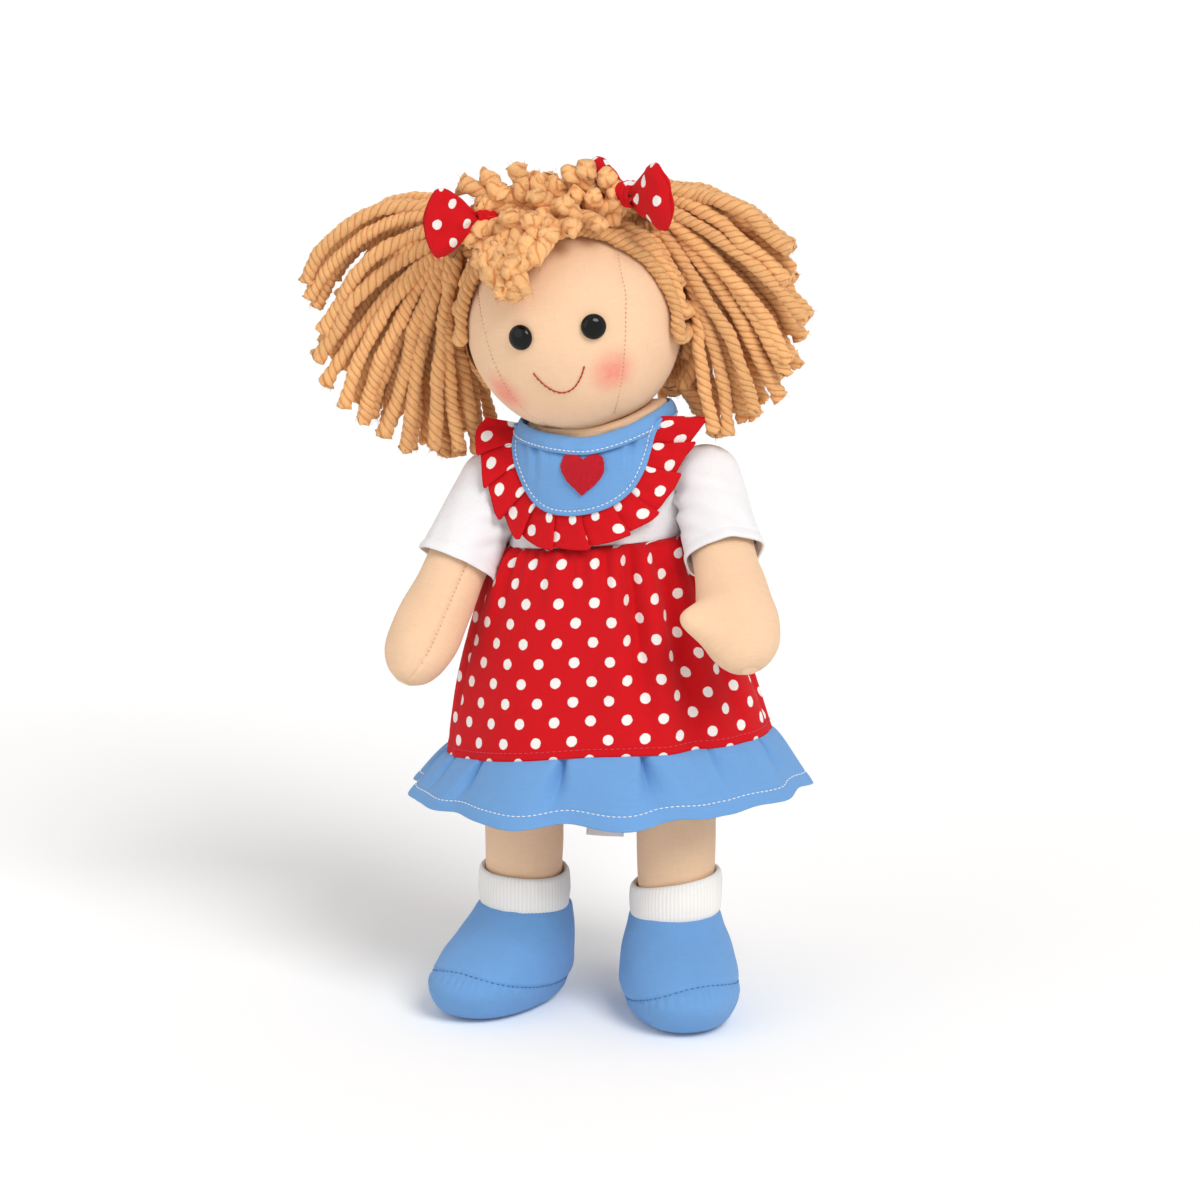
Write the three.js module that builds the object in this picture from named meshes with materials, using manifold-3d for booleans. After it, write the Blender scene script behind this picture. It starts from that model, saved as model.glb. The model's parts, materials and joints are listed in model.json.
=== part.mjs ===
// Rag doll with a stuffed cotton body, yarn hair in two bunches and a frilled dress.
// Millimetres, +Z up. The doll stands on its soles at z = 0, faces -Y, and +X is its left side.
import * as THREE from 'three';
import { mergeVertices } from 'three/addons/utils/BufferGeometryUtils.js';
import Module from 'manifold-3d';

const wasm = await Module();
wasm.setup();

// Cloth, clearances and cutters
const clearance = 0.3;
const overrun = 60;
const jersey = 1.2;
const cotton = 1.2;
const felt = 1.3;

// Feet, from the sole up
const shoeHeight = 46;
const footLength = 75;
const footWidth = 46;
const seamHeight = 19;
const toeOutAngle = 20;
const footSquareness = 2.2;

// Legs and socks
const legSpacing = 61;
const legLength = 75.7;
const legRadius = 15.8;
const sockHeight = 14.5;
const sockThickness = 2.4;

// Seat and torso
const seatLift = 4;
const seatHeight = 25.4;
const seatWidth = 68;
const seatDepth = 50;
const torsoHeight = 86;
const torsoWidth = 68;
const torsoDepth = 53;

// Neck and head: the head is a ball that rolls in the cup of the neck
const headWidth = 83;
const headDepth = 81;
const headHeight = 82;
const headRise = 37;
const headLean = 9;
const headForward = 4;
const headRollAngle = 10.5;
const headTurnAngle = 3.5;
const neckPlay = 0.5;
const neckThickness = 5;
const neckRadius = 15;

// Face
const eyeSpacing = 28;
const eyeHeight = 5.2;
const eyeRadius = 4.9;
const eyeDome = 3.6;
const eyeDomeShares = [[0.35, 0.96], [0.7, 0.74], [0.93, 0.4]];
const stemRadius = 1.6;
const stemLength = 9;
const washerRadius = 5;
const washerThickness = 1.5;
const washerDepth = 4.5;
const smileWidth = 20;
const smileOffset = 2;
const smileHeight = -9.1;
const smileDrop = 9.6;
const threadRadius = 0.5;

// Hair
const hairThickness = 6.5;
const hairlineHeight = 31;
const hairlineSlopeAngle = 56;
const tieSpacing = 72;
const tieHeight = 43;
const rootRadius = 8.5;
const rootConeRadius = 17;
const tieForward = 4;
const napeHeight = -22;
const rootWall = 1.7;
const tieThickness = 2.2;
const tieWidth = 4;
const bunchLeftReach = 94;
const bunchRightReach = 82;
const bunchFallAngles = { left: 76, right: 88 };
const bunchDepth = 42;
const bunchBack = 12;
const bunchStrands = 12;
const strandRelief = 0.07;
const tuftLength = 20;
const tuftRadius = 6;
const tuftTipRadius = 3.2;
const tuftTaperShare = 0.6;
const padShares = { width: 0.7, depth: 0.6, height: 0.5, back: 0.2, rise: 0.36 };
const fringeSpreadAngle = 62;

// Bows
const bowLobeLength = 23;
const bowLobeHeight = 26;
const bowThickness = 5;
const bowForward = 18;
const bowInward = 5;
const bowRise = 3;
const knotRadius = 4.4;
const knotWidth = 6.5;
const knotThickness = 1.6;

// Arms and sleeves
const shoulderOutset = 8;
const shoulderDrop = 26;
const shoulderLifts = { left: 3, right: -3 };
const armLength = 86;
const armRadius = 14;
const handRadius = 13.4;
const handThickness = 22;
const thumbLength = 9;
const thumbRadius = 5.5;
const thumbDepthShare = 1.15;
const thumbDroopAngle = 20;
const thumbPlaceShare = 0.64;
const sleeveLength = 35;
const sleeveFlare = -0.7;
const armSplayAngles = { left: 19, right: 20.5 };
const thumbAngles = { left: 215, right: 100 };
const armForwardAngles = { left: 42, right: 29 };

// Dress
const waistRise = 41;
const skirtLength = 83;
const skirtWidth = 128;
const skirtDepth = 92;
const skirtFolds = 12;
const skirtFoldDepth = 1.6;
const skirtFlareShare = 0.1;
const frillLength = 24;
const frillWidth = 152;
const frillDepth = 112;
const frillFolds = 15;
const frillFoldDepth = 3;
const bibRadius = 34;
const bibRise = 2;
const bibPadding = 2.6;
const ruffleWidth = 11.3;
const ruffleFolds = 13;
const ruffleFoldDepth = 1.3;
const ruffleLift = 1.6;
const ruffleEndAngle = 8;
const bandWidth = 64;
const bandDepth = 52;
const bandHeight = 6.5;
const bandThickness = 2.2;
const bandRise = 1.5;
const heartWidth = 16.5;
const heartHeight = 16;
const heartDrop = 17;
const heartShares = { tip: 0.5, side: 0.6, waist: 0.15, shoulder: 0.4, lobe: 1.15, cleft: 0.55 };
const tapeWidth = 10;
const tapeHeight = 26;
const labelWidth = 15;
const labelLength = 60;
const labelThickness = 0.8;
const labelBack = 10;

// Heights and places that follow from the sizes above
const legPivotZ = shoeHeight + clearance + legLength;
const seatBottomZ = legPivotZ + seatLift;
const seatTopZ = seatBottomZ + seatHeight;
const torsoBottomZ = seatTopZ + clearance;
const torsoTopZ = torsoBottomZ + torsoHeight;
const waistZ = torsoBottomZ + waistRise;
const hemZ = waistZ - skirtLength;
const shoulderX = torsoWidth / 2 + shoulderOutset;
const shoulderZ = torsoTopZ - shoulderDrop;
const headCentre = new THREE.Vector3(-headLean, -headForward, torsoTopZ + headRise);
const cupRadius = headHeight / 2 + neckPlay;
const neckOuterRadius = cupRadius + neckThickness;
const sleeveInner = armRadius + clearance;
const sleeveOuter = sleeveInner + jersey;
const bibCentreZ = torsoTopZ + bibRise;
const crownWidth = headWidth + 2 * (clearance + hairThickness);
const crownDepth = headDepth + 2 * (clearance + hairThickness);
const crownHeight = headHeight + 2 * (clearance + hairThickness);

const degrees = THREE.MathUtils.degToRad;
const sides = { left: 1, right: -1 };

// Colours and finishes
const finish = (colour, roughness) => new THREE.MeshStandardMaterial({ color: colour, roughness, metalness: 0 });
const finishes = {
  flesh: finish(0xf0c6a0, 0.85),
  white: finish(0xf4f2ef, 0.9),
  red: finish(0xd8101c, 0.8),
  blue: finish(0x7fadd8, 0.8),
  felt: finish(0xb8141f, 0.95),
  yarn: finish(0xdd9f66, 0.9),
  thread: finish(0x8c2f24, 0.7),
  eye: finish(0x0a0a0b, 0.1),
  washer: finish(0xe8e8e4, 0.5),
  elastic: finish(0x9c6a3c, 0.8),
  label: finish(0xcfd0d2, 0.8),
};

const doll = new THREE.Group();

function addPiece(name, geometry, material, parent = doll) {
  const mesh = new THREE.Mesh(geometry, material);
  mesh.name = name;
  parent.add(mesh);
  return mesh;
}

// Turns a geometry's faces outwards by the sign of its volume.
function facingOut(geometry) {
  const position = geometry.attributes.position;
  const index = geometry.index.array;
  const a = new THREE.Vector3();
  const b = new THREE.Vector3();
  const c = new THREE.Vector3();
  let volume = 0;
  for (let i = 0; i < index.length; i += 3) {
    a.fromBufferAttribute(position, index[i]);
    b.fromBufferAttribute(position, index[i + 1]);
    c.fromBufferAttribute(position, index[i + 2]);
    volume += a.dot(b.cross(c));
  }
  if (volume < 0) {
    for (let i = 0; i < index.length; i += 3) {
      [index[i], index[i + 1]] = [index[i + 1], index[i]];
    }
  }
  return geometry;
}

// A closed skin over rows of points that each go once round. Looped rows close on themselves,
// and otherwise the first and last rows are covered by a fan to their middle.
function skin(rows, looped = false) {
  const columns = rows[0].length;
  const points = rows.flat();
  const index = [];
  const last = looped ? rows.length : rows.length - 1;
  for (let i = 0; i < last; i += 1) {
    const next = (i + 1) % rows.length;
    for (let j = 0; j < columns; j += 1) {
      const side = (j + 1) % columns;
      index.push(i * columns + j, next * columns + j, next * columns + side);
      index.push(i * columns + j, next * columns + side, i * columns + side);
    }
  }
  if (!looped) {
    for (const [row, turned] of [[0, false], [rows.length - 1, true]]) {
      const middle = new THREE.Vector3();
      rows[row].forEach((point) => middle.addScaledVector(point, 1 / columns));
      points.push(middle);
      for (let j = 0; j < columns; j += 1) {
        const pair = [row * columns + j, row * columns + ((j + 1) % columns)];
        index.push(...(turned ? pair.reverse() : pair), points.length - 1);
      }
    }
  }
  const geometry = new THREE.BufferGeometry().setFromPoints(points);
  geometry.setIndex(index.reverse());
  return facingOut(geometry);
}

// One flat oval row of points at a height, round a middle, with a power of 2 for an ellipse.
function ovalRow(z, halfWidth, halfDepth, columns, middleY = 0, power = 2) {
  return Array.from({ length: columns }, (_, j) => {
    const angle = (2 * Math.PI * j) / columns;
    const x = Math.cos(angle);
    const y = Math.sin(angle);
    const reach = (Math.abs(x) ** power + Math.abs(y) ** power) ** (-1 / power);
    return new THREE.Vector3(halfWidth * reach * x, middleY + halfDepth * reach * y, z);
  });
}

// A smooth reading of a table's column at a share of its length.
function smoothColumn(table, column) {
  const curve = new THREE.SplineCurve(table.map((row) => new THREE.Vector2(row[0], row[column])));
  return (share) => curve.getPoint(share).y;
}

function toSolid(geometry) {
  const bare = geometry.clone();
  bare.deleteAttribute('normal');
  bare.deleteAttribute('uv');
  const merged = mergeVertices(bare);
  const mesh = new wasm.Mesh({
    numProp: 3,
    vertProperties: new Float32Array(merged.attributes.position.array),
    triVerts: new Uint32Array(merged.index.array),
  });
  return new wasm.Manifold(mesh);
}

function toGeometry(solid) {
  const mesh = solid.getMesh();
  const geometry = new THREE.BufferGeometry();
  geometry.setAttribute('position', new THREE.BufferAttribute(new Float32Array(mesh.vertProperties), 3));
  geometry.setIndex(new THREE.BufferAttribute(new Uint32Array(mesh.triVerts), 1));
  return geometry;
}

const join = (...geometries) => toGeometry(geometries.map(toSolid).reduce((a, b) => a.add(b)));
const cut = (whole, ...cutters) => toGeometry(cutters.map(toSolid).reduce((a, b) => a.subtract(b), toSolid(whole)));
const overlapOf = (...geometries) => toGeometry(geometries.map(toSolid).reduce((a, b) => a.intersect(b)));

function placed(geometry, x, y, z) {
  return geometry.clone().translate(x, y, z);
}

// A closed oval ball on the origin.
function ellipsoid(width, depth, height, columns = 20, rows = 12) {
  return skin(Array.from({ length: rows }, (_, i) => {
    const angle = (Math.PI * (i + 1 / 3)) / (rows - 1 / 3);
    const reach = Math.sin(angle) / 2;
    return ovalRow((Math.cos(angle) * height) / 2, width * reach, depth * reach, columns);
  }));
}

const ball = (radius, columns = 20, rows = 12) => ellipsoid(2 * radius, 2 * radius, 2 * radius, columns, rows);

function box(width, depth, height, x, y, z) {
  return new THREE.BoxGeometry(width, depth, height).translate(x, y, z);
}

// A row's height, half width and half depth as shares of the torso's, from its bottom to its top
const torsoShares = [
  [0, 0.62, 0.6],
  [0.025, 0.86, 0.84],
  [0.1, 0.98, 0.97],
  [0.3, 1.03, 1.06],
  [0.5, 0.96, 1.0],
  [0.7, 0.94, 0.99],
  [0.84, 0.94, 0.96],
  [0.93, 0.86, 0.84],
  [0.98, 0.7, 0.66],
  [1, 0.5, 0.46],
];
const torsoRows = 11;
const torsoColumns = 20;

// The torso's surface, or one that lies a distance outside it.
function torsoSkin(outset = 0) {
  const height = smoothColumn(torsoShares.map((row, i) => [i, row[0]]), 1);
  const width = smoothColumn(torsoShares.map((row, i) => [i, row[1]]), 1);
  const depth = smoothColumn(torsoShares.map((row, i) => [i, row[2]]), 1);
  const rows = Array.from({ length: torsoRows }, (_, i) => {
    const share = i / (torsoRows - 1);
    const lift = outset * (2 * height(share) - 1);
    const z = torsoBottomZ + torsoHeight * height(share) + lift;
    const halfWidth = (torsoWidth / 2) * width(share) + outset;
    const halfDepth = (torsoDepth / 2) * depth(share) + outset;
    return ovalRow(z, halfWidth, halfDepth, torsoColumns);
  });
  return skin(rows);
}

// Room for a sleeve wherever its arm swings: a cone turned about the axis of swing, grown by an outset.
function swingRoom(name, side, outset) {
  const splay = degrees(armSplayAngles[name]);
  const beside = sleeveOuter + clearance + outset;
  const start = beside * Math.sin(splay);
  const end = (sleeveLength + clearance) * Math.cos(splay) + start;
  const rows = [start, end].map((reach) => (
    ovalRow((reach * Math.sin(splay) - beside) / Math.cos(splay), reach, reach, 32)
  ));
  rows.push(ovalRow(overrun, end, end, 32));
  const cone = skin(rows).rotateY(side * degrees(90));
  return placed(cone, side * shoulderX, 0, shoulderZ + shoulderLifts[name]);
}
const swingRooms = (outset) => Object.entries(sides).map(([name, side]) => swingRoom(name, side, outset));

// Where an arm hangs from its shoulder, and the room its sleeve needs there.
function armPlace(name, side) {
  const turn = new THREE.Euler(degrees(-armForwardAngles[name]), degrees(-side * armSplayAngles[name]), 0);
  const place = new THREE.Matrix4().makeRotationFromEuler(turn);
  return place.setPosition(side * shoulderX, 0, shoulderZ + shoulderLifts[name]);
}
function restRoom(name, side) {
  const reach = sleeveOuter + clearance;
  const rod = skin([0, -sleeveLength - clearance].map((z) => ovalRow(z, reach, reach, 24)));
  return rod.applyMatrix4(armPlace(name, side));
}

// Everything round the neck keeps clear of the ball of head and neck, and of both sleeves.
const atHead = (geometry) => placed(geometry, headCentre.x, headCentre.y, headCentre.z);
const neckRoom = atHead(ball(neckOuterRadius + clearance, 24, 18));
const headRoom = atHead(ball(cupRadius + clearance, 24, 18));
const sleeveRooms = Object.entries(sides).map(([name, side]) => (
  placed(ball(sleeveOuter + clearance), side * shoulderX, 0, shoulderZ + shoulderLifts[name])
));

// Torso
const torso = cut(torsoSkin(), neckRoom, ...sleeveRooms, ...swingRooms(jersey + clearance));
addPiece('torso', torso, finishes.flesh);

// Shirt body: a shell round the torso from the waist to the neck, open at neck, arms and hem
const shirtOutset = clearance + jersey;
const belowWaist = box(overrun * 4, overrun * 4, overrun * 2, 0, 0, waistZ + clearance - overrun);
const shirtLining = cut(torsoSkin(clearance), ...swingRooms(jersey));
const shirtRooms = [neckRoom, belowWaist, ...sleeveRooms, ...swingRooms(0)];
const shirt = cut(torsoSkin(shirtOutset), shirtLining, ...shirtRooms);
addPiece('shirt_body', shirt, finishes.white);

// Bib: a half disc on the chest, between the shirt and a padded surface outside it
function chestDisc(radius) {
  const shape = new THREE.Shape();
  shape.absarc(0, 0, radius, 0, 2 * Math.PI);
  const options = { depth: overrun, bevelEnabled: false, curveSegments: 16 };
  return new THREE.ExtrudeGeometry(shape, options).rotateX(Math.PI / 2).translate(0, 0, bibCentreZ);
}
const bandBottomZ = torsoTopZ + bandRise - bandHeight;
const bibOutset = shirtOutset + bibPadding;
const aboveBand = box(overrun * 4, overrun * 4, overrun * 2, 0, 0, bandBottomZ - clearance + overrun);
const bibSolid = cut(
  overlapOf(torsoSkin(bibOutset), chestDisc(bibRadius)),
  torsoSkin(shirtOutset + clearance),
  headRoom,
  aboveBand,
  ...sleeveRooms,
);
addPiece('bib', bibSolid, finishes.blue);

// Neckband: an upright oval band on the shoulders, cut clear of the head and the shirt
const bandShares = [[1, 0], [1, 1], [0, 1], [0, 0]];
const bandRows = bandShares.map(([outer, top]) => ovalRow(
  bandBottomZ + top * bandHeight,
  bandWidth / 2 - (1 - outer) * bandThickness,
  bandDepth / 2 - (1 - outer) * bandThickness,
  24,
  -headForward / 2,
));
const neckband = cut(skin(bandRows, true), headRoom, torsoSkin(shirtOutset + clearance), ...sleeveRooms);
addPiece('neckband', neckband, finishes.blue);

// Heart: felt that follows the bib's surface
function heartOutline() {
  const shape = new THREE.Shape();
  const [half, tall] = [heartWidth / 2, heartHeight / 2];
  const { tip, side, waist, shoulder, lobe, cleft } = heartShares;
  shape.moveTo(0, -tall);
  shape.bezierCurveTo(-half * tip, -tall * side, -half, -tall * waist, -half, tall * shoulder);
  shape.bezierCurveTo(-half, tall * lobe, -half * waist, tall * lobe, 0, tall * cleft);
  shape.bezierCurveTo(half * waist, tall * lobe, half, tall * lobe, half, tall * shoulder);
  shape.bezierCurveTo(half, -tall * waist, half * tip, -tall * side, 0, -tall);
  return shape;
}
const heartOptions = { depth: overrun, bevelEnabled: false, curveSegments: 6 };
const heartCutter = new THREE.ExtrudeGeometry(heartOutline(), heartOptions);
heartCutter.rotateX(Math.PI / 2).translate(0, 0, bibCentreZ - heartDrop);
const heart = cut(overlapOf(torsoSkin(bibOutset + clearance + felt), heartCutter), torsoSkin(bibOutset + clearance));
addPiece('heart', heart, finishes.felt);

// A torso row's outline at a height, as half width and half depth outside the cloth.
function torsoAt(z, outset) {
  const share = THREE.MathUtils.clamp((z - torsoBottomZ) / torsoHeight, 0, 1);
  const above = torsoShares.findIndex((row) => row[0] >= share);
  const [low, high] = [torsoShares[Math.max(above - 1, 0)], torsoShares[above]];
  const part = high === low ? 0 : (share - low[0]) / (high[0] - low[0]);
  return {
    halfWidth: (torsoWidth / 2) * THREE.MathUtils.lerp(low[1], high[1], part) + outset,
    halfDepth: (torsoDepth / 2) * THREE.MathUtils.lerp(low[2], high[2], part) + outset,
  };
}

// Ruffle: a pleated strip that follows the bib's lower edge and ends on the shoulders
function ruffleRow(share) {
  const angle = degrees(THREE.MathUtils.lerp(ruffleEndAngle, 180 - ruffleEndAngle, share));
  const innerRadius = bibRadius + clearance;
  const pointAt = (widthShare, layer) => {
    const radius = innerRadius + ruffleWidth * widthShare;
    const innerX = innerRadius * Math.cos(angle);
    const { halfWidth, halfDepth } = torsoAt(bibCentreZ - innerRadius * Math.sin(angle), bibOutset);
    const surface = halfDepth * Math.sqrt(Math.max(0, 1 - (innerX / halfWidth) ** 2));
    const fold = ruffleFoldDepth * (1 + Math.sin(2 * Math.PI * ruffleFolds * share));
    const y = -surface - widthShare * (ruffleLift + fold) - layer * cotton;
    return new THREE.Vector3(radius * Math.cos(angle), y, bibCentreZ - radius * Math.sin(angle));
  };
  return [[0, 0], [1, 0], [1, 1], [0, 1]].map(([width, layer]) => pointAt(width, layer));
}
const ruffleSteps = ruffleFolds * 3;
const ruffleSkin = skin(Array.from({ length: ruffleSteps + 1 }, (_, i) => ruffleRow(i / ruffleSteps)));
const ruffle = cut(ruffleSkin, torsoSkin(shirtOutset + clearance), headRoom, ...sleeveRooms);
addPiece('ruffle', ruffle, finishes.red);

// Skirt and frill: folded cloth shells round the torso, seat and legs
function clothShell(topZ, bottomZ, top, bottom, flare, folds, foldDepth, columns, steps) {
  const rowAt = (share, inset) => {
    const grown = THREE.MathUtils.lerp(share, share ** 2, flare);
    const halfWidth = THREE.MathUtils.lerp(top.halfWidth, bottom.halfWidth, grown) - inset;
    const halfDepth = THREE.MathUtils.lerp(top.halfDepth, bottom.halfDepth, grown) - inset;
    const row = ovalRow(THREE.MathUtils.lerp(topZ, bottomZ, share), halfWidth, halfDepth, columns);
    return row.map((point, j) => {
      const fold = foldDepth * share * Math.cos((2 * Math.PI * folds * j) / columns);
      const reach = Math.hypot(point.x, point.y);
      return new THREE.Vector3(point.x * (1 + fold / reach), point.y * (1 + fold / reach), point.z);
    });
  };
  const shares = Array.from({ length: steps + 1 }, (_, i) => i / steps);
  const outside = shares.map((share) => rowAt(share, 0));
  const inside = shares.reverse().map((share) => rowAt(share, cotton));
  return skin([...outside, ...inside], true);
}
const waistRow = torsoAt(waistZ, clearance + cotton + clearance);
const hemRow = { halfWidth: skirtWidth / 2, halfDepth: skirtDepth / 2 };
const frillRow = { halfWidth: frillWidth / 2, halfDepth: frillDepth / 2 };
const skirtShell = clothShell(
  waistZ, hemZ, waistRow, hemRow, skirtFlareShare, skirtFolds, skirtFoldDepth, skirtFolds * 4, 3,
);
const skirt = cut(skirtShell, ...Object.entries(sides).map(([name, side]) => restRoom(name, side)));
addPiece('skirt', skirt, finishes.red);
const frill = clothShell(
  hemZ - clearance, hemZ - frillLength, hemRow, frillRow, 0, frillFolds, frillFoldDepth, frillFolds * 4, 2,
);
addPiece('frill', frill, finishes.blue);

// Closure at the back of the shirt: a tape under a flap
function backPatch(width, height, near, thickness) {
  const window = box(width, overrun, height, 0, overrun / 2, waistZ + clearance + tapeHeight / 2);
  return cut(overlapOf(torsoSkin(near + thickness), window), torsoSkin(near));
}
addPiece('closure_tape', backPatch(tapeWidth, tapeHeight, shirtOutset + clearance, felt), finishes.white);
const flapNear = shirtOutset + clearance + felt + clearance;
addPiece('closure_flap', backPatch(tapeWidth, tapeHeight, flapNear, jersey), finishes.white);

// Seat: the stuffed lower body, with a pocket for the rounded top of each leg
const seatShares = [[0, 0.55], [0.06, 0.78], [0.2, 0.93], [0.55, 1], [0.9, 0.99], [1, 0.96]];
const seatColumns = 20;
const legRooms = Object.values(sides).map((side) => (
  placed(ball(legRadius + clearance), (side * legSpacing) / 2, 0, legPivotZ)
));
const seatSkin = skin(seatShares.map(([height, width]) => ovalRow(
  seatBottomZ + height * seatHeight, (seatWidth / 2) * width, (seatDepth / 2) * width, seatColumns,
)));
addPiece('seat', cut(seatSkin, ...legRooms), finishes.white);

// Label tab: a blank woven tab that hangs from the seat's lower seam
const label = box(labelWidth, labelThickness, labelLength, 0, labelBack, seatBottomZ - clearance - labelLength / 2);
addPiece('label_tab', label, finishes.label);

// Legs, with a ball at the hip, a straight shank and a flat end on the shoe
const legShares = [[0.3, 1], [0.55, 0.985], [0.8, 0.96], [1, 0.95]];
function legSkin(outset) {
  const radius = legRadius + outset;
  const rows = [15, 35, 60, 85].map((angle) => ovalRow(
    radius * Math.cos(degrees(angle)), radius * Math.sin(degrees(angle)), radius * Math.sin(degrees(angle)), 20,
  ));
  legShares.forEach(([length, width]) => {
    const halfWidth = legRadius * width + outset;
    rows.push(ovalRow(-legLength * length, halfWidth, halfWidth, 20));
  });
  return skin(rows);
}
const ankleHalf = legRadius * legShares[legShares.length - 1][1];
const sockRows = [[1, 0.15], [1, 0.85], [0.7, 1], [0, 1], [0, 0], [0.7, 0]];
const sockSkin = skin(sockRows.map(([outer, height]) => {
  const halfWidth = ankleHalf + clearance * 2 + sockThickness * outer;
  return ovalRow(-legLength + clearance + height * sockHeight, halfWidth, halfWidth, 20);
}), true);

// Shoes: a row's height, middle, half length and half width as shares of the foot's
const footShares = [
  [0, 0.2, 0.62, 0.58],
  [0.05, 0.225, 0.84, 0.8],
  [0.17, 0.255, 0.95, 0.93],
  [0.3, 0.275, 1, 1],
  [0.42, 0.27, 0.985, 1],
  [0.56, 0.215, 0.9, 0.97],
  [0.7, 0.13, 0.76, 0.91],
  [0.85, 0.03, 0.6, 0.83],
  [0.96, 0, 0.51, 0.78],
  [1, 0, 0.46, 0.72],
];
const footSkin = skin(footShares.map(([height, middle, length, width]) => ovalRow(
  height * shoeHeight, (footWidth / 2) * width, (footLength / 2) * length, 20, -(footLength / 2) * middle, footSquareness,
)));
const underSeam = box(overrun * 4, overrun * 4, overrun, 0, 0, seamHeight - overrun / 2);
const overSeam = box(overrun * 4, overrun * 4, overrun * 2, 0, 0, seamHeight - clearance + overrun);

Object.entries(sides).forEach(([name, side]) => {
  const leg = new THREE.Group();
  leg.position.set((side * legSpacing) / 2, 0, legPivotZ);
  doll.add(leg);
  addPiece(`leg_${name}`, legSkin(0), finishes.flesh, leg);
  addPiece(`sock_${name}`, sockSkin, finishes.white, leg);
  const foot = new THREE.Group();
  foot.position.set(0, 0, -legPivotZ);
  foot.rotation.z = degrees(side * toeOutAngle);
  leg.add(foot);
  addPiece(`shoe_${name}`, cut(footSkin, underSeam), finishes.blue, foot);
  addPiece(`sole_${name}`, cut(footSkin, overSeam), finishes.blue, foot);
});

// Arms: a ball at the shoulder, a tapering arm and a flatter mitten hand with a thumb
const armShares = [
  [0.2, 0.95, 0.95],
  [0.42, 0.87, 0.87],
  [0.6, 0.94, 0.86],
  [0.76, 1.02, 0.86],
  [0.88, 0.9, 0.74],
  [0.96, 0.6, 0.5],
  [1, 0.24, 0.22],
];
function armRows(outset, lastShare) {
  const radius = armRadius + outset;
  const rows = [14, 35, 60, 85].map((angle) => ovalRow(
    radius * Math.cos(degrees(angle)), radius * Math.sin(degrees(angle)), radius * Math.sin(degrees(angle)), 20,
  ));
  armShares.filter(([length]) => length <= lastShare).forEach(([length, width, depth]) => {
    rows.push(ovalRow(-armLength * length, armRadius * width + outset, armRadius * depth + outset, 20));
  });
  return rows;
}
function thumb(angle) {
  const reach = handRadius + thumbLength;
  const solid = ellipsoid(reach, thumbRadius * 2, thumbRadius * 2 * thumbDepthShare, 12, 8);
  solid.rotateY(degrees(-thumbDroopAngle)).translate(reach / 2, 0, -armLength * thumbPlaceShare);
  return solid.rotateZ(degrees(angle));
}
function sleeve() {
  const flare = sleeveOuter + sleeveFlare;
  const rows = armRows(sleeveOuter - armRadius, armShares[0][0]);
  rows.push(ovalRow(-sleeveLength, flare, flare, 20));
  const room = armRows(clearance, armShares[0][0]);
  room.push(ovalRow(-sleeveLength, flare - jersey, flare - jersey, 20));
  room.push(ovalRow(-sleeveLength - overrun, flare - jersey, flare - jersey, 20));
  return cut(skin(rows), skin(room));
}
Object.entries(sides).forEach(([name, side]) => {
  const arm = new THREE.Group();
  arm.applyMatrix4(armPlace(name, side));
  doll.add(arm);
  addPiece(`arm_${name}`, join(skin(armRows(0, 1)), thumb(thumbAngles[name])), finishes.flesh, arm);
  addPiece(`sleeve_${name}`, sleeve(), finishes.white, arm);
});

// Head: everything below is placed in the head's own frame, whose middle is the head's centre
const head = new THREE.Group();
head.position.copy(headCentre);
head.rotation.set(0, degrees(-headRollAngle), degrees(headTurnAngle));
head.updateMatrix();
doll.add(head);

// Neck: a stuffed disc between the torso's hollow and the head's ball
const neckPost = skin([
  ovalRow(-neckOuterRadius - overrun, neckRadius, neckRadius, 24),
  ovalRow(0, neckRadius, neckRadius, 24),
]);
const neck = cut(overlapOf(ball(neckOuterRadius, 24, 18), neckPost), ball(cupRadius, 24, 18));
addPiece('neck', neck, finishes.flesh, head);

// A point on the head's surface at a place across and up, and the way out of it.
function facePoint(x, z, out) {
  const [a, b, c] = [headWidth / 2, headDepth / 2, headHeight / 2];
  const y = -b * Math.sqrt(1 - (x / a) ** 2 - (z / c) ** 2);
  const normal = new THREE.Vector3(x / a ** 2, y / b ** 2, z / c ** 2).normalize();
  return { point: new THREE.Vector3(x, y, z).addScaledVector(normal, out), normal };
}
function onFace(geometry, x, z, out) {
  const { point, normal } = facePoint(x, z, out);
  const turn = new THREE.Quaternion().setFromUnitVectors(new THREE.Vector3(0, 0, 1), normal);
  return geometry.clone().applyQuaternion(turn).translate(point.x, point.y, point.z);
}
function roundRows(rows, columns = 12) {
  return rows.map(([z, radius]) => ovalRow(z, radius, radius, columns));
}
const eyeProfile = [
  [-stemLength, stemRadius],
  [clearance, stemRadius],
  [clearance, eyeRadius],
  ...eyeDomeShares.map(([rise, width]) => [eyeDome * rise, eyeRadius * width]),
];
const washerProfile = [
  [0, stemRadius + clearance],
  [0, washerRadius],
  [-washerThickness, washerRadius],
  [-washerThickness, stemRadius + clearance],
];
const stemRoom = skin(roundRows([[-stemLength - clearance, stemRadius + clearance], [overrun, stemRadius + clearance]]));
const washerRoom = skin(roundRows([
  [-washerDepth - washerThickness - clearance, washerRadius + clearance],
  [-washerDepth + clearance, washerRadius + clearance],
]));
const eyeRooms = Object.values(sides).flatMap((side) => [stemRoom, washerRoom].map((room) => (
  onFace(room, (side * eyeSpacing) / 2, eyeHeight, 0)
)));
addPiece('head', cut(ellipsoid(headWidth, headDepth, headHeight), ...eyeRooms), finishes.flesh, head);
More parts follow.
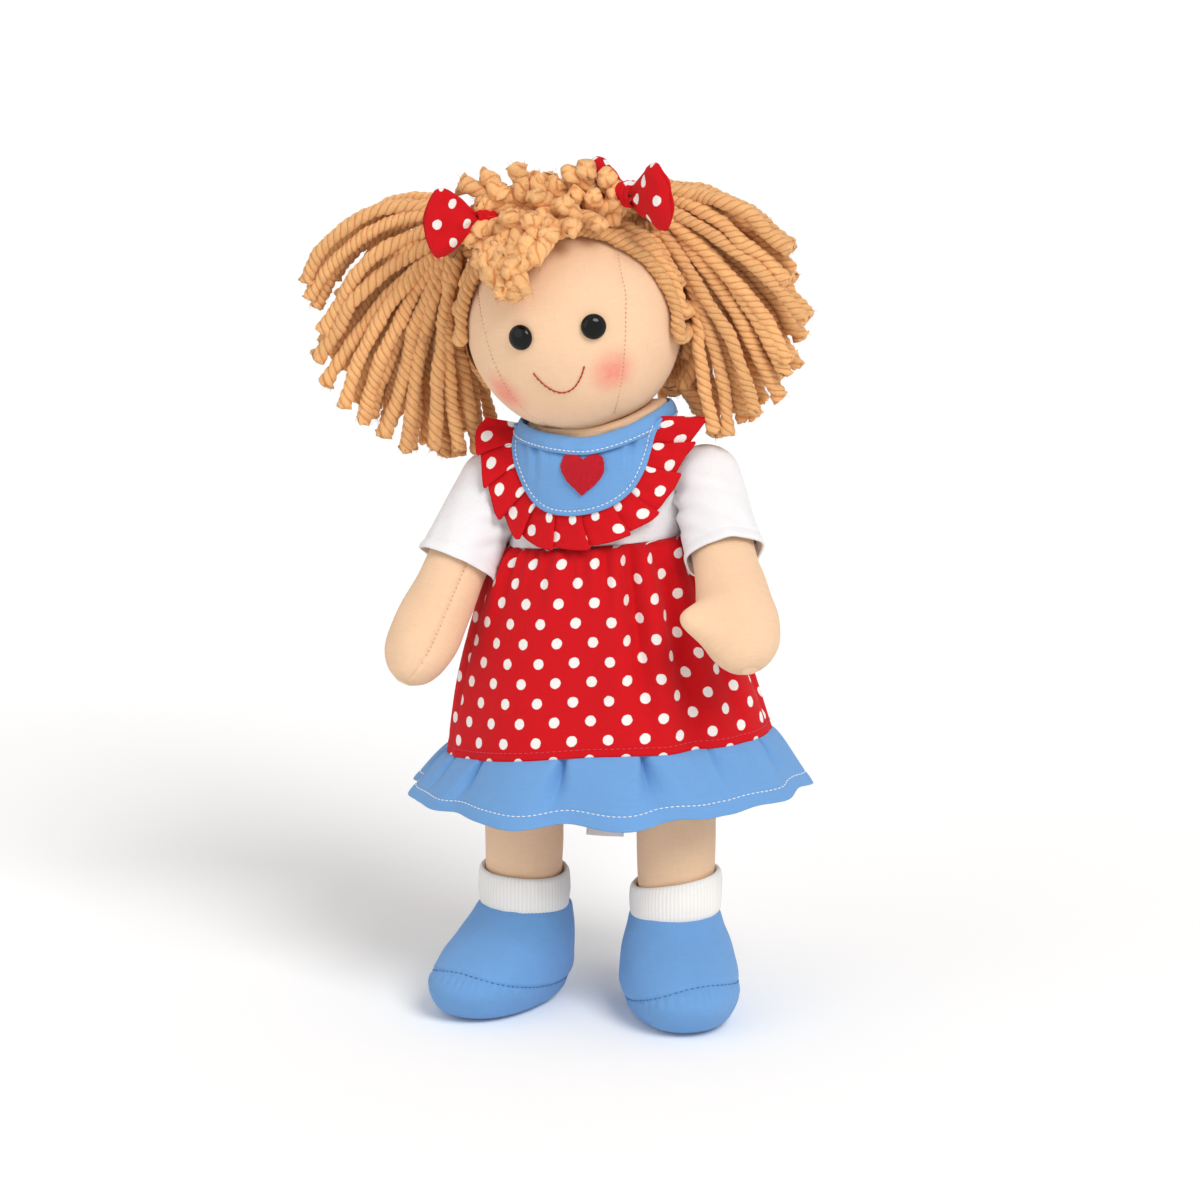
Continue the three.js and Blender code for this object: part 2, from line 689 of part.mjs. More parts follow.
Object.entries(sides).forEach(([name, side]) => {
  const x = (side * eyeSpacing) / 2;
  addPiece(`eye_${name}`, onFace(skin(roundRows(eyeProfile)), x, eyeHeight, 0), finishes.eye, head);
  const washer = onFace(skin(roundRows(washerProfile), true), x, eyeHeight, -washerDepth);
  addPiece(`washer_${name}`, washer, finishes.washer, head);
});

// Smile: a stitched thread that lies on the face
const smilePoints = Array.from({ length: 9 }, (_, i) => {
  const across = i / 4 - 1;
  const z = smileHeight - smileDrop * (1 - across ** 2);
  return facePoint((smileWidth / 2) * across - smileOffset, z, clearance + threadRadius).point;
});
const threadShape = new THREE.Shape();
threadShape.absarc(0, 0, threadRadius, 0, 2 * Math.PI);
const smile = new THREE.ExtrudeGeometry(threadShape, {
  steps: 16, curveSegments: 3, bevelEnabled: false, extrudePath: new THREE.CatmullRomCurve3(smilePoints),
});
addPiece('mouth_stitch', smile, finishes.thread, head);

// Hair crown: yarn over the top, sides and back of the head, drawn up to a root at each tie
const tiePoint = (side) => new THREE.Vector3((side * tieSpacing) / 2, tieForward, tieHeight);
const tieReach = tiePoint(1).length();
const rootTop = rootRadius + clearance + rootWall;
function towardsTie(geometry, side) {
  const turn = new THREE.Quaternion().setFromUnitVectors(new THREE.Vector3(0, 0, 1), tiePoint(side).normalize());
  return geometry.clone().applyQuaternion(turn);
}
function rootCone(outset, side) {
  return towardsTie(skin([
    ovalRow(headHeight / 4, rootConeRadius + outset, rootConeRadius + outset, 20),
    ovalRow(tieReach - 2 * tieWidth, rootTop + outset, rootTop + outset, 20),
    ovalRow(tieReach, rootTop + outset, rootTop + outset, 20),
  ]), side);
}
const crownRoom = ellipsoid(crownWidth + 2 * clearance, crownDepth + 2 * clearance, crownHeight + 2 * clearance);
const headShell = ellipsoid(headWidth + 2 * clearance, headDepth + 2 * clearance, headHeight + 2 * clearance);
const hairlineY = -(headDepth / 2) * Math.sqrt(1 - (2 * hairlineHeight / headHeight) ** 2);
const faceRoom = box(overrun * 4, overrun * 4, overrun * 4, 0, -overrun * 2, 0)
  .rotateX(degrees(90 - hairlineSlopeAngle)).translate(0, hairlineY, hairlineHeight);
const napeRoom = box(overrun * 4, overrun * 4, overrun * 2, 0, 0, napeHeight - overrun);
const rootRooms = Object.values(sides).map((side) => {
  const point = tiePoint(side);
  return placed(ball(rootRadius + clearance), point.x, point.y, point.z);
});
const crown = cut(
  join(ellipsoid(crownWidth, crownDepth, crownHeight), rootCone(0, 1), rootCone(0, -1)),
  headShell, faceRoom, napeRoom, ...rootRooms,
);
addPiece('hair_crown', crown, finishes.yarn, head);

// Ties: elastic rings round the roots
const tieProfile = [[1, 1], [1, 0], [0, 0], [0, 1]].map(([outer, low]) => [
  tieReach - tieWidth * low - clearance, rootTop + clearance + tieThickness * outer,
]);
Object.entries(sides).forEach(([name, side]) => {
  addPiece(`tie_${name}`, towardsTie(skin(roundRows(tieProfile, 16), true), side), finishes.elastic, head);
});

// Bows: two flared lobes from a narrow waist, and a knot round the waist
const bowShares = [[0, 0], [0.16, 0.02], [0.3, 0.3], [0.6, 0.72], [0.9, 0.98], [1, 1]];
const bowWaist = knotRadius - knotThickness - clearance;
function bowSkin(outset) {
  const half = bowShares.map(([length, height]) => ovalRow(
    bowLobeLength * length + outset * length,
    THREE.MathUtils.lerp(bowWaist, bowThickness / 2, height) + outset,
    THREE.MathUtils.lerp(bowWaist, bowLobeHeight / 2, height) + outset,
    12,
  ));
  const other = half.slice(1).reverse().map((row) => row.map((point) => new THREE.Vector3(point.x, point.y, -point.z)));
  return skin([...other, ...half]).rotateZ(Math.PI / 2).rotateY(Math.PI / 2);
}
function atBow(geometry, side) {
  const point = tiePoint(side);
  return placed(geometry, point.x - side * bowInward, point.y - bowForward, point.z + bowRise);
}
const knotProfile = [[1, 0.5], [1, -0.5], [0, -0.5], [0, 0.5]].map(([outer, along]) => [
  knotWidth * along, knotRadius - knotThickness * (1 - outer),
]);
const knot = skin(roundRows(knotProfile), true).rotateY(Math.PI / 2);
Object.entries(sides).forEach(([name, side]) => {
  addPiece(`bow_${name}`, cut(atBow(bowSkin(0), side), crownRoom), finishes.red, head);
  addPiece(`knot_${name}`, cut(atBow(knot, side), crownRoom), finishes.red, head);
});

// Fringe: a pad on the crown with short blunt tufts that point outwards
const tuftRowShares = [[0.2, 5], [0.38, 5], [0.58, 4], [0.78, 2]];
function tuft(azimuth, rise) {
  const way = new THREE.Vector3(
    Math.sin(azimuth) * Math.cos(rise), -Math.cos(azimuth) * Math.cos(rise), Math.sin(rise),
  );
  const turn = new THREE.Quaternion().setFromUnitVectors(new THREE.Vector3(0, 0, 1), way);
  const start = crownHeight / 2 - hairThickness / 2;
  return skin(roundRows([
    [start, tuftRadius], [start + tuftLength * tuftTaperShare, tuftRadius], [start + tuftLength, tuftTipRadius],
  ], 6)).applyQuaternion(turn);
}
const tufts = tuftRowShares.flatMap(([riseShare, count], row) => Array.from({ length: count }, (_, i) => {
  const across = (2 * (i + 0.5 + 0.25 * (row % 2))) / count - 1;
  return tuft(degrees(fringeSpreadAngle * across), degrees(25 + 90 * riseShare));
}));
const fringePad = overlapOf(
  ellipsoid(crownWidth + tuftLength / 2, crownDepth + tuftLength / 2, crownHeight + tuftLength / 2),
  placed(
    ellipsoid(crownWidth * padShares.width, crownDepth * padShares.depth, crownHeight * padShares.height, 16, 10),
    0, -crownDepth * padShares.back, crownHeight * padShares.rise,
  ),
);
const tieRoom = tieThickness + 2 * clearance;
const knotRoom = skin(roundRows([[-knotWidth / 2, knotRadius + clearance], [knotWidth / 2, knotRadius + clearance]]))
  .rotateY(Math.PI / 2);
const fringe = cut(
  join(fringePad, ...tufts),
  crownRoom, rootCone(tieRoom, 1), rootCone(tieRoom, -1),
  atBow(bowSkin(clearance), 1), atBow(bowSkin(clearance), -1), atBow(knotRoom, 1), atBow(knotRoom, -1),
);
addPiece('fringe', fringe, finishes.yarn, head);

// Bunches: fans of yarn that arch out of the ties and fall outside the shoulders.
// A row's reach, upper edge and lower edge as shares of the fall angle, half depth and middle.
const bunchShares = [
  [0.09, -0.57, 0.45, 0.36, 0],
  [0.24, -0.6, 0.7, 0.6, 0.15],
  [0.45, -0.34, 0.89, 0.88, 0.45],
  [0.65, -0.09, 0.98, 1, 0.75],
  [0.82, 0.09, 1, 1, 0.95],
  [1, 0.18, 1, 0.92, 1],
];
const upperTipShare = 0.74;
const bunchReaches = { left: bunchLeftReach, right: bunchRightReach };
function bunchSkin(name, side) {
  const columns = bunchStrands * 2;
  const fallAngle = degrees(bunchFallAngles[name]);
  return skin(bunchShares.map(([reach, upper, lower, depth, back]) => (
    Array.from({ length: columns }, (_, j) => {
      const turn = (2 * Math.PI * j) / columns;
      const relief = 1 - strandRelief * reach * (1 + Math.cos(bunchStrands * turn));
      const fall = (1 - Math.cos(turn) * relief) / 2;
      const angle = fallAngle * THREE.MathUtils.lerp(upper, lower, fall);
      const radius = bunchReaches[name] * reach * THREE.MathUtils.lerp(upperTipShare, 1, fall);
      const y = bunchBack * back + (bunchDepth / 2) * depth * Math.sin(turn) * relief;
      return new THREE.Vector3(side * radius * Math.cos(angle), y, -radius * Math.sin(angle));
    })
  )));
}
Object.entries(sides).forEach(([name, side]) => {
  const point = tiePoint(side).applyMatrix4(head.matrix);
  const fromPoint = new THREE.Matrix4().makeTranslation(-point.x, -point.y, -point.z).multiply(head.matrix);
  const rooms = [crownRoom, headShell, rootCone(tieRoom, side)].map((room) => room.clone().applyMatrix4(fromPoint));
  const bunch = new THREE.Group();
  bunch.position.copy(point);
  doll.add(bunch);
  const solid = join(cut(bunchSkin(name, side), ...rooms), ball(rootRadius, 16, 12));
  addPiece(`bunch_${name}`, solid, finishes.yarn, bunch);
});

// The floor under the middle of the doll's outer size is the origin.
doll.updateMatrixWorld(true);
const outerBox = new THREE.Box3().setFromObject(doll, true);
const outerMiddle = outerBox.getCenter(new THREE.Vector3());
doll.position.set(-outerMiddle.x, -outerMiddle.y, -outerBox.min.z);

export default doll;
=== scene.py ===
import json
import math
import bpy
import numpy as np
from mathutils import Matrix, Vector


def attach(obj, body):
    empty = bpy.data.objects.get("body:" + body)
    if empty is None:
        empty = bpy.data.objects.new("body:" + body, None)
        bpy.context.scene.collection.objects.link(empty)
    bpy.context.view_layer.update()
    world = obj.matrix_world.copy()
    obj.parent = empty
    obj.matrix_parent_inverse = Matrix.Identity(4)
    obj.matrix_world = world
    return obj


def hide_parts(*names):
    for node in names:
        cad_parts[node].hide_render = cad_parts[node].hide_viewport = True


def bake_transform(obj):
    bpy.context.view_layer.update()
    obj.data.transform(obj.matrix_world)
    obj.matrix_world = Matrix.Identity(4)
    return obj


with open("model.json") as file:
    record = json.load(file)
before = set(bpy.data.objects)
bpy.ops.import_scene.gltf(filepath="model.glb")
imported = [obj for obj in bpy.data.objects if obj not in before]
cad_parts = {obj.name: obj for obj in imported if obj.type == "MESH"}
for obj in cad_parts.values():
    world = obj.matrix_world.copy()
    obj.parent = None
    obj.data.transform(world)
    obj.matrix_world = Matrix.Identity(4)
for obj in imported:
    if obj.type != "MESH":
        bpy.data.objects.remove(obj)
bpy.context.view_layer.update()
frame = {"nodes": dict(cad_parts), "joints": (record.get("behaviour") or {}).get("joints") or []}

bl_info = {
    "name": "Rag doll",
    "version": (1, 0, 0),
    "blender": (4, 5, 0),
    "location": "View3D > Sidebar > Rag doll",
    "description": "Dresses the packed rag doll with cloth, yarn and stitching",
    "category": "Object",
}

# Sizes in millimetres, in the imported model's frame: +Z up, the doll faces -Y, and +X is its left.
MM = 0.001
SIDES = {"left": 1, "right": -1}
JOINTS = {joint["name"]: joint for joint in frame["joints"]}


def pivot(name):
    """A joint's place, in millimetres."""
    return np.array(JOINTS[name]["pos_m"]) / MM


HEAD_CENTRE = pivot("neck_turn")
SHOULDERS = {side: pivot(f"arm_{side}_swing") for side in SIDES}
HIPS = {side: pivot(f"leg_{side}_swing") for side in SIDES}
TIES = {side: pivot(f"bunch_{side}_swing") for side in SIDES}
BODY_X = (SHOULDERS["left"][0] + SHOULDERS["right"][0]) / 2

HEAD_HALVES = np.array([41.5, 40.5, 41.0])
TORSO_BOTTOM, TORSO_HEIGHT = 151.7, 86.0
TORSO_HALF_WIDTH, TORSO_HALF_DEPTH = 34.0, 26.5
TORSO_SHARES = [
    [0, 0.62, 0.6], [0.025, 0.86, 0.84], [0.1, 0.98, 0.97], [0.3, 1.03, 1.06], [0.5, 0.96, 1.0],
    [0.7, 0.94, 0.99], [0.84, 0.94, 0.96], [0.93, 0.86, 0.84], [0.98, 0.7, 0.66], [1, 0.5, 0.46],
]
WAIST_Z, CHEST_TOP = 192.7, 232.0
SHIRT_BOTTOM, SHIRT_TOP = 183.0, 236.6
SHIRT_OUT, BIB_OUT = 1.5, 4.1
NECK_MIDDLE = (BODY_X, -2, 0)
BAND_HEIGHT, BAND_HALF_WIDTH, BAND_HALF_DEPTH = 6.5, 30.2, 25.5
SEAT_BOTTOM, SEAT_HEIGHT = 126.0, 25.4
SEAT_HALF_WIDTH, SEAT_HALF_DEPTH = 34, 25
FRILL_LENGTH, FRILL_WIDTH = 430, 28
ARM_LENGTH, ARM_RADIUS, ARM_TOP = 86.0, 14.0, 12.2
ARM_FORWARD = {"left": 42.0, "right": 29.0}
ARM_SPLAY = {"left": 19.0, "right": 18.7}
LEG_LENGTH, LEG_RADIUS = 83.5, 15.8
SOCK_BOTTOM, SOCK_HEIGHT = 38.4, 15.4
FOOT_HEIGHT, FOOT_HALF_LENGTH, FOOT_HALF_WIDTH = 40.0, 37.5, 23.0
TOE_OUT = 20.0


# Arrays of points

def turn(axis, degrees):
    """The matrix that turns a point about one axis by the right-hand rule."""
    angle = math.radians(degrees)
    c, s = math.cos(angle), math.sin(angle)
    if axis == "X":
        return np.array([[1, 0, 0], [0, c, -s], [0, s, c]])
    if axis == "Y":
        return np.array([[c, 0, s], [0, 1, 0], [-s, 0, c]])
    return np.array([[c, -s, 0], [s, c, 0], [0, 0, 1]])


HEAD_TURN = turn("Y", -10.5) @ turn("Z", 3.5)


def in_head(points):
    """Points of the head's own frame, whose middle is the head's centre, moved into the doll's frame."""
    return np.asarray(points, float) @ HEAD_TURN.T + HEAD_CENTRE


def unit(vectors):
    """The vectors at length 1."""
    return vectors / np.maximum(np.linalg.norm(vectors, axis=-1, keepdims=True), 1e-9)


def level_out(points, centre=(BODY_X, 0, 0)):
    """The level way out of an upright line through a centre, at each point."""
    return unit((points - centre) * [1, 1, 0])


def bell(value, at, wide):
    """1 at a place, and falling to nothing at about twice the width on both sides of it."""
    return np.exp(-((value - at) / wide) ** 2)


def apart(angle, at, whole=2 * math.pi):
    """How far an angle is past another one, at most half a turn either way."""
    return (angle - at + whole / 2) % whole - whole / 2


def round_angles(count):
    """Angles once round a piece, as a row."""
    return np.linspace(0, 2 * math.pi, count, endpoint=False)[None]


def oval(half_width, half_depth, z, angle):
    """Points of level ovals: x is half_width * cos(angle) and y is half_depth * sin(angle)."""
    return np.stack([half_width * np.cos(angle), half_depth * np.sin(angle), z + 0 * angle], -1)


def smooth_path(points, count):
    """A path through the points: the sum of four neighbours weighted by the uniform spline through them."""
    points = np.asarray(points, float)
    padded = np.vstack([2 * points[0] - points[1], points, 2 * points[-1] - points[-2]])
    place = np.linspace(0, len(points) - 1 - 1e-9, count)
    index = place.astype(int)
    t = (place - index)[:, None]
    a, b, c, d = (padded[index + k] for k in range(4))
    return 0.5 * (2 * b + (c - a) * t + (2 * a - 5 * b + 4 * c - d) * t**2 + (3 * b - a - 3 * c + d) * t**3)


def even_path(points, step):
    """A dense path read again at even steps of its length, with the length gone at each step."""
    gone = np.concatenate([[0], np.cumsum(np.linalg.norm(np.diff(points, axis=0), axis=1))])
    places = np.linspace(0, gone[-1], max(int(round(gone[-1] / step)), 2) + 1)
    return np.stack([np.interp(places, gone, column) for column in points.T], 1), places


def arc(first, handle_a, handle_b, last, count=60):
    """The curve that leaves the first point towards one handle and reaches the last from the other."""
    t = np.linspace(0, 1, count)[:, None]
    first, handle_a, handle_b, last = (np.asarray(p, float) for p in (first, handle_a, handle_b, last))
    return ((1 - t) ** 3 * first + 3 * (1 - t) ** 2 * t * handle_a
            + 3 * (1 - t) * t**2 * handle_b + t**3 * last)


def waves(points, size, seed):
    """A smooth uneven field from -1 to 1: the mean of seven sine waves in seeded directions."""
    draw = np.random.default_rng(seed)
    ways = unit(draw.normal(size=(7, 3))) * (2 * math.pi / size) * draw.uniform(0.6, 1.6, (7, 1))
    return np.sin(points @ ways.T + draw.uniform(0, 2 * math.pi, 7)).mean(-1) * 1.8


# One mesh out of many grids

def add_object(name, data):
    """A new object in the scene, at the origin."""
    thing = bpy.data.objects.new(name, data)
    bpy.context.scene.collection.objects.link(thing)
    return thing


class Surface:
    """Gathers grids of points in millimetres, with a cloth place per corner and a tone per point."""

    def __init__(self):
        self.points, self.loops, self.sizes, self.cloth, self.tones = [], [], [], [], []
        self.count = 0

    def grid(self, points, u=1.0, v=1.0, wrap=(False, False), caps=(False, False), tone=0.5, middle=None):
        """Adds a grid. u and v are the cloth places of its columns and rows, or of every point, or the
        steps from one to the next. wrap closes its rows or columns on themselves, and caps cover its first
        and last row. It faces away from middle, or else from its own inside."""
        rows, columns = points.shape[:2]
        u = np.arange(columns + 1) * u if np.ndim(u) == 0 else u
        v = np.arange(rows + 1) * v if np.ndim(v) == 0 else v
        if np.ndim(u) == 1:
            u, v = np.meshgrid(u, v)
        i, j = np.meshgrid(np.arange(rows if wrap[0] else rows - 1),
                           np.arange(columns if wrap[1] else columns - 1), indexing="ij")
        corners = [(a.ravel(), b.ravel()) for a, b in ((i, j), (i, j + 1), (i + 1, j + 1), (i + 1, j))]
        faces = [np.stack([(a % rows) * columns + b % columns for a, b in corners], 1)]
        places = [np.stack([np.stack([u[a, b], v[a, b]], -1) for a, b in corners], 1)]
        flat = points.reshape(-1, 3)
        ring = np.arange(columns)
        for row, covered in ((0, caps[0]), (rows - 1, caps[1])):
            if covered:
                pair = [ring, np.roll(ring, -1)] if row else [np.roll(ring, -1), ring]
                hub = np.full(columns, len(flat))
                faces.append(np.stack([row * columns + pair[0], row * columns + pair[1], hub], 1))
                places.append(np.repeat(np.stack([u[row, :columns], v[row, :columns]], -1)[:, None], 3, 1))
                flat = np.vstack([flat, points[row].mean(0)])
        a, b, c = (flat[faces[0][:, k]] for k in range(3))
        away = flat.mean(0) if middle is None else middle
        if (np.cross(b - a, c - a) * (a - away)).sum() < 0:
            faces = [face[:, ::-1] for face in faces]
            places = [place[:, ::-1] for place in places]
        for face, place in zip(faces, places):
            self.loops.append((face + self.count).ravel())
            self.sizes.append(np.full(len(face), face.shape[1]))
            self.cloth.append(place.reshape(-1, 2))
        self.points.append(flat)
        self.tones.append(np.full(len(flat), tone))
        self.count += len(flat)
        return self

    def closed(self, points, **more):
        """Adds rings of points as one closed shape, with both ends covered."""
        return self.grid(points, wrap=(False, True), caps=(True, True), **more)

    def ring(self, points, **more):
        """Adds a grid that is closed both ways, like a tyre."""
        return self.grid(points, wrap=(True, True), **more)

    def bars(self, points, tone=0.5):
        """Adds many small closed bars at once, from an array of bars, rings along each and points round."""
        bars, rings, round_count = points.shape[:3]
        ring = np.arange(rings * round_count).reshape(rings, round_count)
        beside = np.roll(ring, -1, 1)
        quads = np.stack([ring[:-1], ring[1:], beside[1:], beside[:-1]], -1).reshape(-1, 4)
        ends = np.stack([ring[0], ring[-1][::-1]])
        starts = (self.count + np.arange(bars) * rings * round_count)[:, None, None]
        self.points.append(points.reshape(-1, 3))
        for faces in (quads, ends):
            self.loops.append((faces[None] + starts).ravel())
            self.sizes.append(np.full(bars * len(faces), faces.shape[1]))
            self.cloth.append(np.zeros((bars * faces.size, 2)))
        self.tones.append(np.full(bars * rings * round_count, tone))
        self.count += bars * rings * round_count
        return self

    def piece(self, name, finish, body, slot, nodes=(), wall=0.0):
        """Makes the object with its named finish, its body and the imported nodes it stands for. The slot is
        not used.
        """
        mesh = bpy.data.meshes.new(name)
        points = np.concatenate(self.points) * MM
        loops = np.concatenate(self.loops).astype(np.int32)
        sizes = np.concatenate(self.sizes).astype(np.int32)
        mesh.vertices.add(len(points))
        mesh.vertices.foreach_set("co", points.astype(np.float32).ravel())
        mesh.loops.add(len(loops))
        mesh.loops.foreach_set("vertex_index", loops)
        mesh.polygons.add(len(sizes))
        mesh.polygons.foreach_set("loop_start", np.concatenate([[0], np.cumsum(sizes)[:-1]]).astype(np.int32))
        mesh.polygons.foreach_set("loop_total", sizes)
        mesh.polygons.foreach_set("use_smooth", np.ones(len(sizes), bool))
        cloth = np.concatenate(self.cloth).astype(np.float32)
        mesh.uv_layers.new(name="Cloth").data.foreach_set("uv", cloth.ravel())
        tone = mesh.attributes.new("tone", "FLOAT", "POINT")
        tone.data.foreach_set("value", np.concatenate(self.tones).astype(np.float32))
        mesh.update()
        mesh.validate()
        thing = add_object(name, mesh)
        mesh.materials.append(FINISHES[finish])
        if wall:
            thickness = thing.modifiers.new("Wall", "SOLIDIFY")
            thickness.thickness = wall * MM
            thickness.offset = -1.0
            thickness.use_even_offset = False
        if body:
            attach(thing, body)
        if nodes:
            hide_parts(*nodes)
        return thing


def smooth_table(rows, count=300):
    """A table's rows joined by a smooth path."""
    rows = np.asarray(rows, float)
    columns = [smooth_path(np.stack([np.arange(len(rows)), rows[:, k], rows[:, k]], 1), count)[:, 1]
               for k in range(rows.shape[1])]
    return np.stack(columns, 1)


def read_table(table, share):
    """A table's other columns, read at a share of its first."""
    return [np.interp(share, table[:, 0], column) for column in table.T[1:]]


TORSO_TABLE = smooth_table(TORSO_SHARES)


def torso_halves(z, outset):
    """The torso's half width and half depth at a height, a distance outside its skin."""
    share = np.clip((np.asarray(z, float) - TORSO_BOTTOM) / TORSO_HEIGHT, 0, 1)
    width, depth = read_table(TORSO_TABLE, share)
    return TORSO_HALF_WIDTH * width + outset, TORSO_HALF_DEPTH * depth + outset


def chest(x, z, outset):
    """Points on the front of the chest, where the oval of that height is cut by the place across."""
    half_width, half_depth = torso_halves(np.minimum(z, CHEST_TOP), outset)
    y = -half_depth * np.sqrt(np.maximum(1 - (x / half_width) ** 2, 0.02))
    return np.stack([BODY_X + x, y, z * np.ones_like(x)], -1)


def waist_height(x):
    """The height of the waist seam at a place across. It climbs towards the wearer's left."""
    return 192.9 + 0.11 * x - 0.0016 * x**2


def band_top(x):
    """The height of the neckband's upper edge at a place across."""
    return 235.7 + 9.6 * np.maximum(0, (x + 2) / 29.5) ** 1.5 + 1.2 * (np.minimum(x, 0) / 30) ** 2


def clear_of(points, centre, radius):
    """Points inside a ball moved straight out to its surface."""
    offset = points - centre
    reach = np.linalg.norm(offset, axis=-1, keepdims=True)
    return centre + offset * np.maximum(1, radius / np.maximum(reach, 1e-6))


def stitches(surface, path, outward, length=1.5, gap=0.9, radius=0.22, tone=0.5):
    """A row of thread bars along a path: each is a six-sided bar that rises in the middle and dips at its
    ends. outward gives the way out of the cloth at an array of points."""
    path, _ = even_path(np.asarray(path, float), length + gap)
    start = path[:-1]
    ahead = unit(path[1:] - start)
    out = outward(start)
    out = unit(out - (out * ahead).sum(-1, keepdims=True) * ahead)
    side = np.cross(ahead, out)
    along = np.array([0.0, 0.12, 0.5, 0.88, 1.0])
    wide = np.array([0.4, 0.9, 1.0, 0.9, 0.4]) * radius
    rise = radius * np.array([-0.8, 0.0, 0.5, 0.0, -0.8])
    angle = np.arange(6) * math.pi / 3
    middle = start[:, None] + ahead[:, None] * (length * along)[:, None] + out[:, None] * rise[:, None]
    ring = np.cos(angle)[:, None] * side[:, None, None] + np.sin(angle)[:, None] * out[:, None, None]
    surface.bars(middle[:, :, None] + ring * wide[:, None, None], tone)
    return surface


# Finishes, as nodes on the piece's own cloth places, tone and object coordinates

def linear(code):
    """A hex colour as linear light, with full alpha. A colour of the settings is linear light already."""
    if not isinstance(code, str):
        return [*code, 1.0]
    parts = [int(code[i:i + 2], 16) / 255 for i in (1, 3, 5)]
    return [p / 12.92 if p <= 0.04045 else ((p + 0.055) / 1.055) ** 2.4 for p in parts] + [1.0]


class Nodes:
    """Writes a material's nodes in short lines."""

    def __init__(self, name, roughness, sheen=0.0, sheen_tint=None):
        self.material = bpy.data.materials.new(name)
        self.material.use_nodes = True
        self.tree = self.material.node_tree
        self.shader = self.tree.nodes["Principled BSDF"]
        self.shader.inputs["Roughness"].default_value = roughness
        self.shader.inputs["Sheen Weight"].default_value = sheen
        self.shader.inputs["Sheen Roughness"].default_value = 0.5
        if sheen_tint:
            self.shader.inputs["Sheen Tint"].default_value = linear(sheen_tint)
        self.shader.inputs["Specular IOR Level"].default_value = 0.25

    def add(self, kind, **settings):
        """A new node with its settings."""
        node = self.tree.nodes.new(kind)
        for key, value in settings.items():
            setattr(node, key, value)
        return node

    def link(self, source, target):
        self.tree.links.new(source, target)

    def put(self, value, socket):
        """Links another node's output to a socket, or sets the socket to a value."""
        if isinstance(value, bpy.types.NodeSocket):
            self.link(value, socket)
        else:
            socket.default_value = value

    def math(self, kind, a, b=0.0, c=0.0):
        """The result of one sum on outputs or numbers."""
        node = self.add("ShaderNodeMath", operation=kind)
        for value, socket in zip((a, b, c), node.inputs):
            self.put(value, socket)
        return node.outputs[0]

    def times(self, a, b):
        return self.math("MULTIPLY", a, b)

    def wave(self, value, rate):
        """The sine of the value times a rate."""
        return self.math("SINE", self.times(value, rate))

    def cloth(self):
        """The cloth place across and down, in millimetres."""
        node = self.add("ShaderNodeUVMap", uv_map="Cloth")
        split = self.add("ShaderNodeSeparateXYZ")
        self.link(node.outputs[0], split.inputs[0])
        return split.outputs[0], split.outputs[1]

    def place(self):
        """The place in the object's own frame, in metres."""
        return self.add("ShaderNodeTexCoord").outputs["Object"]

    def noise(self, vector, scale, detail=3.0, roughness=0.5):
        """A soft random value from 0 to 1, the same again at the same place."""
        node = self.add("ShaderNodeTexNoise")
        self.link(vector, node.inputs["Vector"])
        node.inputs["Scale"].default_value = scale
        node.inputs["Detail"].default_value = detail
        node.inputs["Roughness"].default_value = roughness
        return node.outputs["Fac"]

    def vector(self, x, y, z=0.0):
        node = self.add("ShaderNodeCombineXYZ")
        for value, socket in zip((x, y, z), node.inputs):
            self.put(value, socket)
        return node.outputs[0]

    def mix(self, factor, a, b):
        """Colour a at factor 0 and colour b at factor 1."""
        node = self.add("ShaderNodeMix", data_type="RGBA")
        self.put(factor, node.inputs["Factor"])
        self.put(a, node.inputs["A"])
        self.put(b, node.inputs["B"])
        return node.outputs["Result"]

    def tint(self, colour, factor, low, high):
        """The colour made darker or lighter as the factor goes from 0 to 1."""
        level = self.math("MULTIPLY_ADD", factor, high - low, low)
        node = self.add("ShaderNodeVectorMath", operation="SCALE")
        self.put(colour[:3] if isinstance(colour, list) else colour, node.inputs[0])
        self.put(level, node.inputs["Scale"])
        return node.outputs[0]

    def step(self, value, low, high):
        """0 below low, 1 above high and smooth between them."""
        node = self.add("ShaderNodeMapRange", interpolation_type="SMOOTHSTEP")
        self.put(value, node.inputs["Value"])
        node.inputs["From Min"].default_value = low
        node.inputs["From Max"].default_value = high
        return node.outputs[0]

    def bump(self, height, distance):
        """Gives the surface a relief of the height, over a distance in millimetres."""
        node = self.add("ShaderNodeBump")
        node.inputs["Strength"].default_value = 1.0
        node.inputs["Distance"].default_value = distance * MM
        self.put(height, node.inputs["Height"])
        self.link(node.outputs[0], self.shader.inputs["Normal"])

    def colour(self, value):
        """Sets the surface's colour and gives the finished material."""
        self.put(value, self.shader.inputs["Base Color"])
        return self.material


def weave(nodes, u, v, pitch):
    """Plain weave: the height of two crossing sets of threads, one over where the other is under."""
    across = nodes.wave(u, 2 * math.pi / pitch)
    along = nodes.wave(v, 2 * math.pi / pitch)
    return nodes.math("MULTIPLY_ADD", nodes.times(across, along), 0.5, 0.5)


